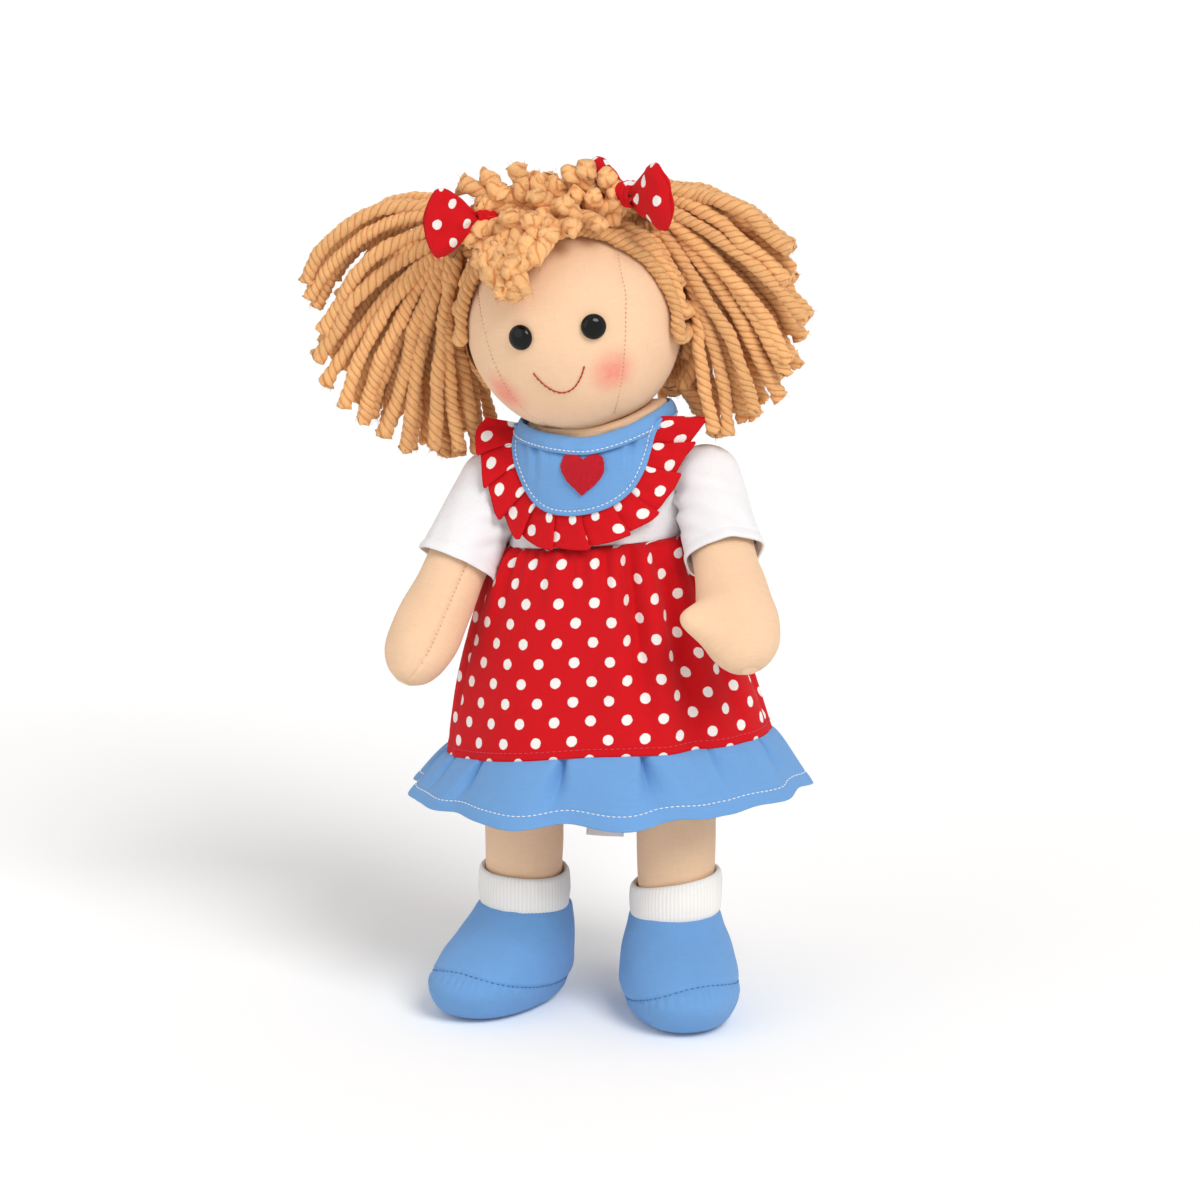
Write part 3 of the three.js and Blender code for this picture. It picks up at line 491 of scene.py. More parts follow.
def cotton(name, code, pitch=0.5, roughness=0.85, depth=0.1, sheen=0.15, colour_of=None):
    """Woven cotton: thread pattern in colour and bump, slubs, and slow colour variation."""
    nodes = Nodes(name, roughness, sheen)
    u, v = nodes.cloth()
    threads = weave(nodes, u, v, pitch)
    slubs = nodes.noise(nodes.vector(nodes.times(u, 0.12), nodes.times(v, 1.6)), 1.0)
    cross_slubs = nodes.noise(nodes.vector(nodes.times(u, 1.6), nodes.times(v, 0.12), 7.0), 1.0)
    fade = nodes.noise(nodes.place(), 28.0, 2.0)
    base = linear(code) if colour_of is None else colour_of(nodes, u, v, linear(code))
    for factor, low, high in ((threads, 0.93, 1.05), (slubs, 0.93, 1.07), (cross_slubs, 0.95, 1.05),
                              (fade, 0.95, 1.05)):
        base = nodes.tint(base, factor, low, high)
    height = nodes.math("ADD", threads, nodes.times(slubs, 0.7))
    nodes.bump(height, depth)
    return nodes.colour(base)


# The spotted cloth's cell across and down, in millimetres: each cell holds two dots.
DOT_CELL = (14.4, 15.4)


def spots(nodes, u, v, ground):
    """Round white dots 4.1 mm across on a plain ground, in rows 7.7 mm apart. Each row is staggered by half
    a step of 14.4 mm: the distance to the nearer of two grids of dots, one set off by half a cell from the
    other."""
    wobble = nodes.noise(nodes.vector(u, v), 0.9, 2.0)
    reaches = []
    for shift in (0.0, 0.5):
        squares = []
        for place, cell in zip((u, v), DOT_CELL):
            share = nodes.math("FRACT", nodes.math("MULTIPLY_ADD", place, 1 / cell, shift))
            far = nodes.times(nodes.math("SUBTRACT", share, 0.5), cell)
            squares.append(nodes.times(far, far))
        reaches.append(nodes.math("SQRT", nodes.math("ADD", *squares)))
    nearest = nodes.math("MINIMUM", *reaches)
    nearest = nodes.math("ADD", nearest, nodes.math("MULTIPLY_ADD", wobble, 0.5, -0.25))
    return nodes.mix(nodes.step(nearest, 1.95, 2.2), linear("#F4EFEA"), ground)


def jersey(name, code):
    """Fine white knit: columns of small V-shaped loops."""
    nodes = Nodes(name, 0.9, 0.25)
    u, v = nodes.cloth()
    share = nodes.math("FRACT", nodes.math("DIVIDE", u, 0.9))
    column = nodes.math("ABSOLUTE", nodes.math("SUBTRACT", share, 0.5))
    loop = nodes.math("MULTIPLY_ADD", v, 1 / 0.7, nodes.times(column, 1.2))
    knit = nodes.math("MULTIPLY_ADD", nodes.wave(loop, 2 * math.pi), 0.5, 0.5)
    groove = nodes.times(column, 1.6)
    fade = nodes.noise(nodes.place(), 40.0, 2.0)
    base = nodes.tint(linear(code), knit, 0.97, 1.02)
    base = nodes.tint(base, fade, 0.98, 1.02)
    nodes.bump(nodes.math("ADD", knit, groove), 0.09)
    return nodes.colour(base)


def ribbed(name, code):
    """Ribbed knit: round ribs 1.6 mm apart with loops up each of them."""
    nodes = Nodes(name, 0.9, 0.3)
    u, v = nodes.cloth()
    rib = nodes.math("ABSOLUTE", nodes.wave(u, math.pi / 1.6))
    loops = nodes.math("MULTIPLY_ADD", nodes.wave(v, 2 * math.pi / 0.9), 0.5, 0.5)
    fuzz = nodes.noise(nodes.vector(u, v), 2.2, 3.0)
    base = nodes.tint(linear(code), rib, 0.93, 1.02)
    base = nodes.tint(base, fuzz, 0.96, 1.03)
    height = nodes.math("ADD", rib, nodes.times(loops, 0.25))
    nodes.bump(nodes.math("ADD", height, nodes.times(fuzz, 0.5)), 0.16)
    return nodes.colour(base)


def spun(name, light, groove_shade):
    """Soft yarn: fine fibres along each ply, painted shade in the grooves between the plies, and a tone for
    each strand.
    """
    nodes = Nodes(name, 0.9, 0.5, "#FFE0B5")
    u, v = nodes.cloth()
    fibres = nodes.noise(nodes.vector(nodes.times(u, 7.0), nodes.times(v, 0.8)), 1.0, 4.0, 0.65)
    lumps = nodes.noise(nodes.place(), 330.0, 3.0, 0.6)
    # The groove mask is 0 where two plies meet. It only places painted shade.
    groove = nodes.math("ABSOLUTE", nodes.wave(u, math.pi))
    tone = nodes.add("ShaderNodeAttribute", attribute_name="tone").outputs["Fac"]
    # Painted shade: the grooves get the second, darker colour instead of the yarn's own lit colour.
    base = nodes.mix(nodes.step(groove, 0.0, 0.55), linear(groove_shade), linear(light))
    base = nodes.tint(base, fibres, 0.84, 1.14)
    base = nodes.tint(base, lumps, 0.9, 1.1)
    base = nodes.tint(base, tone, 0.9, 1.07)
    height = nodes.math("ADD", fibres, nodes.times(lumps, 0.9))
    nodes.bump(height, 0.7)
    return nodes.colour(base)


def felted(name, code):
    """Pressed felt: matted fibres in every direction."""
    nodes = Nodes(name, 0.95, 0.5, "#FF9090")
    coarse = nodes.noise(nodes.place(), 900.0, 5.0, 0.7)
    fine = nodes.noise(nodes.place(), 3200.0, 3.0, 0.6)
    base = nodes.tint(linear(code), coarse, 0.72, 1.25)
    base = nodes.tint(base, fine, 0.85, 1.15)
    nodes.bump(nodes.math("ADD", coarse, fine), 0.35)
    return nodes.colour(base)


def moulded(name, code, roughness, gloss=0.5, depth=0.01):
    """Moulded plastic or thread: a faint mottle in colour and surface."""
    nodes = Nodes(name, roughness)
    nodes.shader.inputs["Specular IOR Level"].default_value = gloss
    mottle = nodes.noise(nodes.place(), 900.0, 3.0)
    nodes.bump(mottle, depth)
    return nodes.colour(nodes.tint(linear(code), mottle, 0.9, 1.1))


BLUSHES = [(-27.0, -25.1, -18.0), (17.6, -33.9, -14.0)]


def face_colour(nodes, u, v, base):
    """Flesh cotton with a soft pink blush round the two cheek points."""
    for cheek in BLUSHES:
        node = nodes.add("ShaderNodeVectorMath", operation="DISTANCE")
        nodes.link(nodes.place(), node.inputs[0])
        node.inputs[1].default_value = (in_head([cheek])[0] * MM).tolist()
        near = nodes.math("SUBTRACT", 1.0, nodes.step(node.outputs["Value"], 0.0005, 0.0128))
        mottle = nodes.math("MULTIPLY_ADD", nodes.noise(nodes.place(), 420.0, 2.0), 0.5, 0.6)
        base = nodes.mix(nodes.times(nodes.times(near, mottle), 0.78), base, linear("#F0756A"))
    return base


FINISHES = {}


def make_finishes(settings):
    """Every finish of the doll, by name."""
    flesh = settings.flesh
    FINISHES.update({
        "face": cotton("face cotton", flesh, 0.42, 0.85, 0.06, colour_of=face_colour),
        "flesh": cotton("flesh cotton", flesh, 0.42, 0.85, 0.07),
        "red": cotton("red spotted cotton", settings.red, 0.42, 0.85, 0.07, 0.02, colour_of=spots),
        "blue": cotton("blue cotton", settings.blue, 0.45, 0.82, 0.09, 0.12),
        "foot": cotton("blue foot cotton", settings.blue, 0.45, 0.85, 0.09, 0.12),
        "white": jersey("white jersey", "#F2F1F3"),
        "plain": cotton("white cotton", "#EFEDEA", 0.5, 0.88, 0.08),
        "rib": ribbed("white rib", "#F4F0EA"),
        "felt": felted("red felt", "#BE1022"),
        # The yarn's second colour, #DE8F4E, is painted shade for the grooves between its plies.
        "yarn": spun("yarn", settings.yarn, "#DE8F4E"),
        "thread_white": moulded("white thread", "#F4F2EE", 0.7, 0.3),
        "thread_foot": moulded("blue thread", "#3E6FA6", 0.75, 0.3),
        "thread_red": moulded("red thread", "#C9485A", 0.7, 0.3),
        "thread_skin": moulded("skin thread", "#B98A63", 0.75, 0.3),
        "smile": moulded("smile thread", "#B0352B", 0.65, 0.3),
        "eye": moulded("black eye plastic", "#020202", 0.05, 0.25, 0.002),
        "washer": moulded("white washer plastic", "#E6E6E2", 0.45, 0.5),
        "elastic": cotton("tan elastic", "#9A6B42", 0.8, 0.8, 0.2),
        "satin": cotton("pale label satin", "#F1EDED", 0.35, 0.45, 0.04, 0.1),
        "tape": ribbed("white tape", "#ECECEC"),
    })


# Body

def head_normals(points):
    """The way out of the head's oval at points of its surface, in the doll's frame."""
    local = (points - HEAD_CENTRE) @ HEAD_TURN
    return unit(local / HEAD_HALVES**2) @ HEAD_TURN.T


def on_face(x, z, out=0.0):
    """Points at a distance outside the front of the head, from places across and up in its own frame."""
    x, z = np.asarray(x, float), np.asarray(z, float)
    y = -HEAD_HALVES[1] * np.sqrt(np.maximum(1 - (x / HEAD_HALVES[0]) ** 2 - (z / HEAD_HALVES[2]) ** 2, 0))
    surface = np.stack([x, y, z], -1)
    return in_head(surface + unit(surface / HEAD_HALVES**2) * out)


SEAMS = {
    "right": [(-33.5, 24.0), (-30.8, 9.9), (-29.3, -1.9), (-26.0, -15.2), (-20.5, -28.0), (-14.0, -35.0)],
    "left": [(25.0, 28.0), (27.0, 15.3), (26.7, 9.6), (24.4, -3.7), (19.5, -20.0), (12.5, -34.0)],
}
SEAMS = {name: smooth_path([(x, z, 0) for x, z in seam], 90)[:, :2].T for name, seam in SEAMS.items()}


def near_path(points, path):
    """Each point's distance to a dense path, and the length gone along it at the nearest place."""
    path, gone = even_path(path, 1.0)
    distance = np.linalg.norm(points[:, None] - path[None], axis=-1)
    nearest = distance.argmin(1)
    return distance.min(1), gone[nearest]


def head_piece(settings):
    """A stuffed oval: rings of latitude round the head's halves, pulled in along the two face seams, with
    small puckers across each seam and a slow unevenness."""
    rows, columns = 150, 300
    latitude = np.linspace(0.008, math.pi - 0.008, rows)[:, None]
    longitude = round_angles(columns)
    local = oval(np.sin(latitude), np.sin(latitude), np.cos(latitude), longitude) * HEAD_HALVES
    out = unit(local / HEAD_HALVES**2)
    change = 0.25 * waves(local, 34, 3)
    for name, seam in SEAMS.items():
        front = (on_face(*seam) - HEAD_CENTRE) @ HEAD_TURN
        distance, gone = near_path(local.reshape(-1, 3), front)
        distance, gone = distance.reshape(rows, columns), gone.reshape(rows, columns)
        change -= 0.5 * bell(distance, 0, 1.0) + 0.35 * bell(distance, 0, 4.5)
        change += 0.1 * np.sin(2 * math.pi * gone / 3.1) * bell(distance, 1.8, 1.4)
    surface = Surface().closed(in_head(local + out * change[..., None]), u=0.87, v=latitude[:, 0] * 41)
    piece = surface.piece("head_cloth", "face", "head", "flesh_cotton", ["head"])
    for name, seam in SEAMS.items():
        row = stitches(Surface(), on_face(*seam, -0.75), head_normals, 0.75, 1.0, 0.16)
        row.piece(f"face_seam_{name}", "thread_skin", "head", "flesh_cotton")


def eyes_piece(settings):
    """Each eye is a dome: a profile that rises from the face and rounds over, turned round the way out."""
    profile = np.array([[0.15, 4.55], [0.5, 4.85], [1.0, 4.9], [1.7, 4.7], [2.4, 4.2], [3.0, 3.4], [3.4, 2.4],
                        [3.6, 1.2], [3.66, 0.2]])
    profile = smooth_path(np.column_stack([profile, np.zeros(len(profile))]), 30)[:, :2]
    angle = np.linspace(0, 2 * math.pi, 48, endpoint=False)
    for name, side in SIDES.items():
        centre = on_face(side * 14.0, 5.2)
        out = head_normals(centre[None])[0]
        across = unit(np.cross([0, 0, 1.0], out))
        up = np.cross(out, across)
        ring = np.cos(angle)[:, None] * across + np.sin(angle)[:, None] * up
        points = centre + profile[:, 0, None, None] * out + profile[:, 1, None, None] * ring
        surface = Surface().closed(points)
        surface.piece(f"eye_dome_{name}", "eye", "head", "eye_plastic", [f"eye_{name}"])


def smile_piece(settings):
    """The smile is a backstitched thread, lowest in the middle: it drops from its ends by 9.6 mm times
    (1 - across squared) to the power 0.9."""
    across = np.linspace(-1, 1, 60)
    x = -2.0 + 10.0 * across
    z = -9.1 - 9.6 * (1 - across**2) ** 0.9
    row = stitches(Surface(), on_face(x, z, 0.26), head_normals, 1.9, 0.04, 0.34)
    row.piece("smile_stitches", "smile", "head", "smile_thread", ["mouth_stitch"])


def neck_piece(settings):
    """A soft roll under the chin: an oval ring of cloth that bulges out of the neckband."""
    angle = round_angles(120)
    profile = np.array([[0, -9, 0], [13, -9, 0], [22, -7, 0], [25.6, -3, 0], [26.2, 0, 0], [25.2, 1.6, 0],
                        [22.5, 2.4, 0], [16, 3.0, 0], [8, 3, 0]])
    profile = smooth_path(profile, 40)[:, :, None]
    reach = profile[:, 0] + 0.4 * np.sin(9 * angle) * (profile[:, 1] > 0)
    x = reach * np.cos(angle)
    y = reach * 0.8 * np.sin(angle)
    z = profile[:, 1] + np.where(profile[:, 1] > -5, band_top(x) + 0.1, 238.0)
    points = np.stack([x, y, z], -1) + NECK_MIDDLE
    local = (points - HEAD_CENTRE) @ HEAD_TURN / (HEAD_HALVES + 0.1)
    inside = np.linalg.norm(local, axis=-1, keepdims=True)
    local = np.where(inside < 1, local / np.maximum(inside, 1e-6), local)
    points = in_head(local * (HEAD_HALVES + 0.1))
    surface = Surface().closed(points, u=1.3)
    piece = surface.piece("neck_roll", "flesh", "neck", "flesh_cotton", ["neck"])


def torso_grid(bottom, top, outset, rows, columns, folds=0.0, seed=1):
    """Rows of ovals round the torso between two heights, a distance outside its skin, with slow folds."""
    z = np.linspace(bottom, top, rows)[:, None]
    angle = round_angles(columns)
    half_width, half_depth = torso_halves(z, outset)
    points = oval(half_width, half_depth, z, angle) + [BODY_X, 0, 0]
    out = unit(oval(1 / half_width, 1 / half_depth, 0 * z, angle))
    return points + out * (folds * waves(points, 26, seed))[..., None]


def torso_piece(settings):
    """The stuffed body: ovals of the torso's table, drawn in towards the neck."""
    points = torso_grid(TORSO_BOTTOM, TORSO_BOTTOM + TORSO_HEIGHT, 0, 90, 120, 0.25, 5)
    surface = Surface().closed(points, u=1.6, v=np.linspace(0, TORSO_HEIGHT, 90))
    surface.piece("torso_cloth", "flesh", "torso", "flesh_cotton", ["torso"])


def shirt_piece(settings):
    """A knitted tube round the torso from under the waist to the neck, with soft creases that run down it."""
    points = torso_grid(SHIRT_BOTTOM, SHIRT_TOP, SHIRT_OUT, 76, 200, 0.5, 11)
    z = points[..., 2]
    creases = 0.45 * bell(z, 203, 9) * waves(points * [1, 1, 0.25], 9, 21)
    points = points + level_out(points) * creases[..., None]
    surface = Surface().grid(points, u=1.05, v=z[:, 0], wrap=(False, True), middle=(BODY_X, 0, 215))
    piece = surface.piece("shirt_cloth", "white", "torso", "white_jersey", ["shirt_body"], wall=1.0)


BIB_EDGE = [
    (-32.7, 234.5), (-32.3, 229.5), (-31.2, 224.0), (-28.4, 218.4), (-24.9, 212.6), (-20.0, 208.1),
    (-13.7, 205.5), (-4.8, 205.4), (4.3, 207.2), (12.3, 210.7), (18.5, 216.0), (22.2, 223.0), (24.0, 229.5),
    (25.2, 236.0), (27.6, 242.0),
]


def along_path(path, share):
    """A path's rows read at shares of their number."""
    return np.stack([np.interp(share, np.linspace(0, 1, len(path)), column) for column in path.T], -1)


def bib_place(share, inset, outset):
    """Points along the bib's edge, or a line inside it: share 0 is at the wearer's right, 1 at their left."""
    edge = smooth_path([(x, z, 0) for x, z in BIB_EDGE], 400)[:, :2]
    place = along_path(edge, share)
    way = along_path(unit(np.gradient(edge, axis=0)), share)
    x = place[..., 0] - inset * way[..., 1]
    z = place[..., 1] + inset * way[..., 0]
    return chest(x, z, outset)


def chest_normals(points):
    """The way out of the chest's ovals at points on it."""
    half_width, half_depth = torso_halves(np.minimum(points[..., 2], CHEST_TOP), SHIRT_OUT)
    return unit(np.stack([(points[..., 0] - BODY_X) / half_width**2, points[..., 1] / half_depth**2,
                          np.zeros(points.shape[:-1])], -1))


def bib_piece(settings):
    """A half disc of cloth on the chest: lines from the neckband to its round edge, a little thicker along
    the turned edge, with gathers under the band that fade downwards."""
    share = np.linspace(0, 1, 160)[None]
    edge = bib_place(share[0], 0.0, BIB_OUT) - [BODY_X, 0, 0]
    top_x = np.linspace(-31.0, 26.6, 160)
    top_z = np.maximum(band_top(top_x) - BAND_HEIGHT + 1.2, edge[:, 2] + 0.3)
    down = np.linspace(0, 1, 70)[:, None]
    x = top_x * (1 - down) + edge[:, 0] * down
    z = top_z * (1 - down) + edge[:, 2] * down
    points = chest(x, z, BIB_OUT)
    gathers = sum(depth * bell(x, at, wide) for at, wide, depth in
                  [(-26, 1.2, -1.3), (-23.6, 1.2, 1.1), (-20.8, 1.2, -1.6), (-17.5, 1.6, 0.8),
                   (17.3, 1.1, -1.6), (19.6, 1.1, 1.1), (14.8, 1.5, 0.8), (-9, 3.0, -0.5), (6, 3.0, -0.5)])
    rim = bib_place(np.linspace(0, 1, 300), 0.0, BIB_OUT)
    inward = near_path(points.reshape(-1, 3), rim)[0].reshape(x.shape)
    turned = 0.4 * bell(inward, 0.9, 1.0) - 0.3 * bell(inward, 1.9, 0.35)
    change = gathers * np.exp(-(down / 0.4) ** 1.3) + turned + 0.3 * waves(points, 13, 8)
    points = points + chest_normals(points) * change[..., None]
    surface = Surface().grid(points, u=BODY_X + x, v=z, middle=(BODY_X, 20, 220))
    piece = surface.piece("bib_cloth", "blue", "torso", "blue_cotton", ["bib"], wall=1.2)
    path = bib_place(np.linspace(0.03, 0.97, 300), 1.9, BIB_OUT + 0.2)
    row = stitches(Surface(), path, chest_normals, 1.25, 0.65, 0.2)
    row.piece("bib_stitches", "thread_white", "torso", "blue_cotton")


def band_points(height_share, angle, outset):
    """The neckband's oval, which rises towards the wearer's left and leans in at its top."""
    x = BAND_HALF_WIDTH * np.cos(angle) - 1.3
    z = band_top(x) - BAND_HEIGHT * (1 - height_share)
    points = np.stack([x, BAND_HALF_DEPTH * np.sin(angle), z], -1) + NECK_MIDDLE
    out = unit(oval(1 / BAND_HALF_WIDTH, 1 / BAND_HALF_DEPTH, 0 * z, angle))
    lean = 2.6 * (1 - height_share)
    return points + out * (outset + lean - 1.0)[..., None]


def neckband_piece(settings):
    """A folded band round the neck: an oval strip that leans in at its top, with both edges rounded over."""
    angle = round_angles(240)
    rim = round_angles(30).T
    height = 0.5 + 0.5 * np.sign(np.cos(rim)) * np.abs(np.cos(rim)) ** 0.7
    outset = -0.3 + 1.0 * np.sin(rim) - 0.3 * bell(height, 0.25, 0.06) * (np.sin(rim) > 0)
    points = band_points(height + 0 * angle, angle + 0 * rim, outset + 0 * angle)
    points = points + level_out(points, NECK_MIDDLE) * (0.3 * waves(points, 9, 31))[..., None]
    surface = Surface().ring(points, u=0.76, v=0.5)
    piece = surface.piece("neckband_cloth", "blue", "torso", "blue_cotton", ["neckband"])
    along = np.linspace(0, 2 * math.pi, 500)
    path = band_points(0.22 + 0 * along, along, 0.68 + 0 * along)
    row = stitches(Surface(), path, lambda p: level_out(p, NECK_MIDDLE), 1.25, 0.65, 0.2)
    row.piece("neckband_stitches", "thread_white", "torso", "blue_cotton")


def heart_piece(settings):
    """A felt heart: x is sin t times its own size, and z is 13 cos t - 3.6 cos 2t - 1.6 cos 3t - 0.7 cos
    4t. It is shrunk to rings that rise from a thick cut edge to a slightly crowned middle."""
    t = round_angles(180)
    x = -0.6 + 8.3 * np.sign(np.sin(t)) * np.abs(np.sin(t)) ** 2.0
    z = 13 * np.cos(t) - 3.6 * np.cos(2 * t) - 1.6 * np.cos(3 * t) - 0.7 * np.cos(4 * t)
    z = (z + 2.45) / 26.5 * 15.7
    ring = np.array([1.0, 1.02, 1.02, 0.98, 0.9, 0.75, 0.55, 0.35, 0.15, 0.03])[:, None]
    rise = np.array([0.0, 0.2, 0.9, 1.25, 1.4, 1.5, 1.55, 1.6, 1.6, 1.6])[:, None]
    uneven = 1 + 0.012 * np.sin(11 * t + 1) + 0.01 * np.sin(23 * t)
    points = chest(x * ring * uneven, 221.8 + z * ring * uneven, BIB_OUT)
    points = points + chest_normals(points) * (rise + 0.12 * waves(points, 3, 6))[..., None]
    surface = Surface().closed(points)
    piece = surface.piece("heart_felt", "felt", "torso", "red_felt", ["heart"])


RUFFLE_EDGE = [
    (-43.8, -8.0, 237.1), (-47.0, -9.0, 231.5), (-43.8, -15.5, 220.5), (-41.0, -17.5, 212.0),
    (-36.8, -18.0, 203.5), (-29.0, -21.5, 195.8), (-18.8, -28.8, 192.6), (-7.0, -32.0, 192.6),
    (5.5, -32.5, 194.6), (16.5, -29.6, 199.0), (25.8, -23.9, 205.0), (31.8, -18.0, 214.5),
    (34.8, -13.0, 224.5), (38.8, -9.0, 233.0), (42.2, -5.0, 240.6),
]


def ruffle_piece(settings):
    """Knife pleats between the bib's edge and an outer line read from a table. Along it each pleat runs on
    by more than its share and folds back under itself, and it stands higher and reaches further where it
    runs on."""
    pleats = 11
    fold = np.array([[0, 0, 0.1], [0.3, 0.5, 0.45], [0.58, 0.96, 0.85], [0.7, 1.2, 1.0], [0.76, 1.26, 0.75],
                     [0.82, 1.16, 0.3], [0.92, 1.0, 0.0], [1, 1, 0.1]])
    place = np.linspace(0, pleats, pleats * 26 + 1)
    whole = np.floor(np.minimum(place, pleats - 1e-6))
    part = place - whole
    spread, lift = read_table(fold, part)
    draw = np.random.default_rng(4)
    edges = np.concatenate([[0], np.cumsum(draw.uniform(0.75, 1.25, pleats))])
    edges = edges / edges[-1]
    heights = draw.uniform(0.75, 1.25, pleats)[whole.astype(int)]
    width = np.linspace(0, 1, 18)[:, None]
    shifted = np.minimum(whole + part + (spread - part) * (0.3 + 0.7 * width), pleats)
    share = np.interp(shifted, np.arange(pleats + 1), edges)
    inner = bib_place(share, 1.2, BIB_OUT - 1.7)
    table = smooth_path(RUFFLE_EDGE, 400) + [BODY_X, 0, 0]
    outer = along_path(table, share)
    reach = width * (1 + 0.1 * (lift - 0.5) * heights)
    points = inner + (outer - inner) * reach[..., None]
    across = table - bib_place(np.linspace(0, 1, 400), 0.0, BIB_OUT)
    out = unit(np.cross(across, np.gradient(table, axis=0)))
    out = along_path(out * np.where(out[:, 1:2] > 0, -1, 1), share)
    stand = 0.3 + 3.1 * (lift * heights - 0.45) * width**0.8 + 0.4 * lift * (1 - width) ** 2
    points = points + out * (stand + 0.25 * waves(points, 8, 12))[..., None]
    along_cloth, down_cloth = cloth_places(points, points.shape[1] // 2)
    surface = Surface().grid(points, u=along_cloth[9], v=43.3 + down_cloth, middle=(BODY_X, 40, 225))
    piece = surface.piece("ruffle_cloth", "red", "torso", "red_spotted_cotton", ["ruffle"], wall=0.5)


SKIRT_TABLE = smooth_table([
    [0.0, 36.6, 37.0, 30.2], [0.05, 40.2, 38.6, 32.6], [0.15, 44.2, 41.2, 35.0], [0.355, 49.6, 48.0, 38.0],
    [0.67, 56.2, 58.2, 41.4], [1.0, 60.6, 66.8, 44.6], [1.1, 61.9, 69.0, 45.4],
])


def dress_reach(share, angle):
    """The skirt's half width and half depth at a share of its length, from a table: it swells below the
    waist and hangs out further on the wearer's left."""
    right, left, depth = read_table(SKIRT_TABLE, share)
    turned = 0.5 + 0.5 * np.cos(angle)
    turned = turned**2 * (3 - 2 * turned)
    return right + (left - right) * turned, depth + 0 * turned


def skirt_folds(angle, share):
    """How far the skirt stands in or out: short gathers under the waist, long slow folds that deepen
    towards the hem, and a few sharp valleys, each from one angle at the waist to another at the hem."""
    degrees = np.degrees(angle)
    near = np.exp(-share / 0.13) * (1 - np.exp(-share / 0.012))
    gathers = 1.2 * np.sin(31 * angle + 2.5 * np.sin(3 * angle))
    gathers = gathers + 1.0 * np.sin(19 * angle + 1.7 * np.sin(5 * angle))
    long = 0.9 * share**0.8 * np.sin(9 * angle + 1.3 * np.sin(2 * angle + 0.7))
    folds = gathers * near + (long + 0.6 * share * np.sin(6 * angle + 2))
    for top, low, wide, depth, middle, reach in SKIRT_VALLEYS:
        at = top + (low - top) * share
        far = apart(degrees, at, 360)
        strength = bell(share, middle, reach) * (1 - np.exp(-share / 0.03))
        valley = bell(far, 0, wide * np.where(far > 0, 1.0, 2.4))
        ridge = 0.55 * bell(far, -3.2 * wide, 2.6 * wide)
        folds = folds + depth * strength * (ridge - valley)
    return folds


SKIRT_VALLEYS = [
    (-61, -65, 3.0, 5.6, 0.38, 0.42), (-39, -46, 3.6, 5.4, 0.45, 0.5), (-20, -24, 4.0, 2.6, 0.6, 0.5),
    (-76, -78, 2.2, 1.5, 0.12, 0.16), (-95, -94, 2.0, 1.3, 0.1, 0.13), (-112, -114, 2.4, 1.4, 0.12, 0.16),
    (-135, -134, 2.6, 1.6, 0.14, 0.2), (-158, -158, 3.0, 2.2, 0.5, 0.5), (5, 2, 4.0, 2.4, 0.6, 0.5),
    (30, 28, 3.6, 2.8, 0.5, 0.5), (58, 60, 3.6, 2.6, 0.45, 0.5), (90, 92, 3.4, 2.4, 0.5, 0.5),
    (120, 118, 3.6, 2.8, 0.5, 0.5), (150, 148, 3.6, 2.4, 0.5, 0.5),
]


def skirt_points(share, angle, outset=0.0):
    """Points on the skirt at shares of its length and angles round it, angle -90 degrees being the front."""
    half_width, half_depth = dress_reach(share, angle)
    x, y = half_width * np.cos(angle), half_depth * np.sin(angle)
    reach = 1 + (skirt_folds(angle, share) + outset) / np.hypot(x, y)
    x, y = x * reach, y * reach
    top = waist_height(np.clip(36 * np.cos(angle), -36, 36))
    low = 113.4 + 6.8 * np.cos(angle) - 4.2 * np.cos(angle) ** 2
    z = top + (low - top) * share
    return np.stack([BODY_X + x, y, z], -1)


def frill_points(share, angle, outset=0.0):
    """Points on the frill: it takes up the skirt's hem and flares to its own edge. Each tuck is a sharp
    valley that widens and fades downwards, and it runs out into a soft wave at the edge."""
    hem = skirt_points(np.ones_like(angle), angle)
    way = level_out(hem)
    degrees = np.degrees(angle)
    step, wave, valley = 0.0, 0.0, 0.0
    for at, depth, drift in FRILL_TUCKS:
        far = apart(degrees, at + drift * share, 360)
        step = step + depth * np.where(far < 0, np.exp(far / 9.0), -0.4 * np.exp(-far / 5.0)) \
            * (1 - np.exp(-np.abs(far) / 0.7))
        wave = wave + depth * (bell(far, -9, 9) - 0.9 * bell(far, 6, 7))
        valley = valley - 2.3 * depth * np.exp(-np.abs(far / (0.9 + 4.2 * share)) ** 1.5)
    flare = np.hypot(14.5 * np.cos(angle), 11.0 * np.sin(angle))
    fade = (1 - np.exp(-share / 0.07)) * np.exp(-(share / 0.7) ** 3)
    out = flare * share**0.9 + (0.5 * step + valley) * fade + 1.0 * wave * share**1.1 \
        - 1.7 * np.exp(-share / 0.05) + outset
    low = 87.7 + 4.2 * np.cos(angle) + 2.2 * np.cos(angle) ** 2 - 0.45 * wave
    points = hem + way * out[..., None]
    points[..., 2] = hem[..., 2] + (low - hem[..., 2]) * share
    return points


FRILL_TUCKS = [
    (-176, 2.2, -6), (-152, 1.4, -3), (-131, 2.0, -6), (-95, 2.6, -3), (-67, 2.8, 1), (-41, 1.2, 3),
    (-13, 1.4, 2), (14, 2.2, 2), (40, 2.4, 3), (68, 2.2, 0), (96, 2.4, 2), (124, 2.2, 2), (152, 2.0, 3),
]


def cloth_places(points, front):
    """How far each point of a grid lies along its row from one column, and down that column."""
    row = np.concatenate([points, points[:, :1]], 1)
    steps = np.linalg.norm(np.diff(row, axis=1), axis=-1)
    along = np.pad(np.cumsum(steps, 1), ((0, 0), (1, 0)))
    column = points[:, front]
    down = np.append(0, np.cumsum(np.linalg.norm(np.diff(column, axis=0), axis=-1)))
    return along - along[:, front:front + 1], down


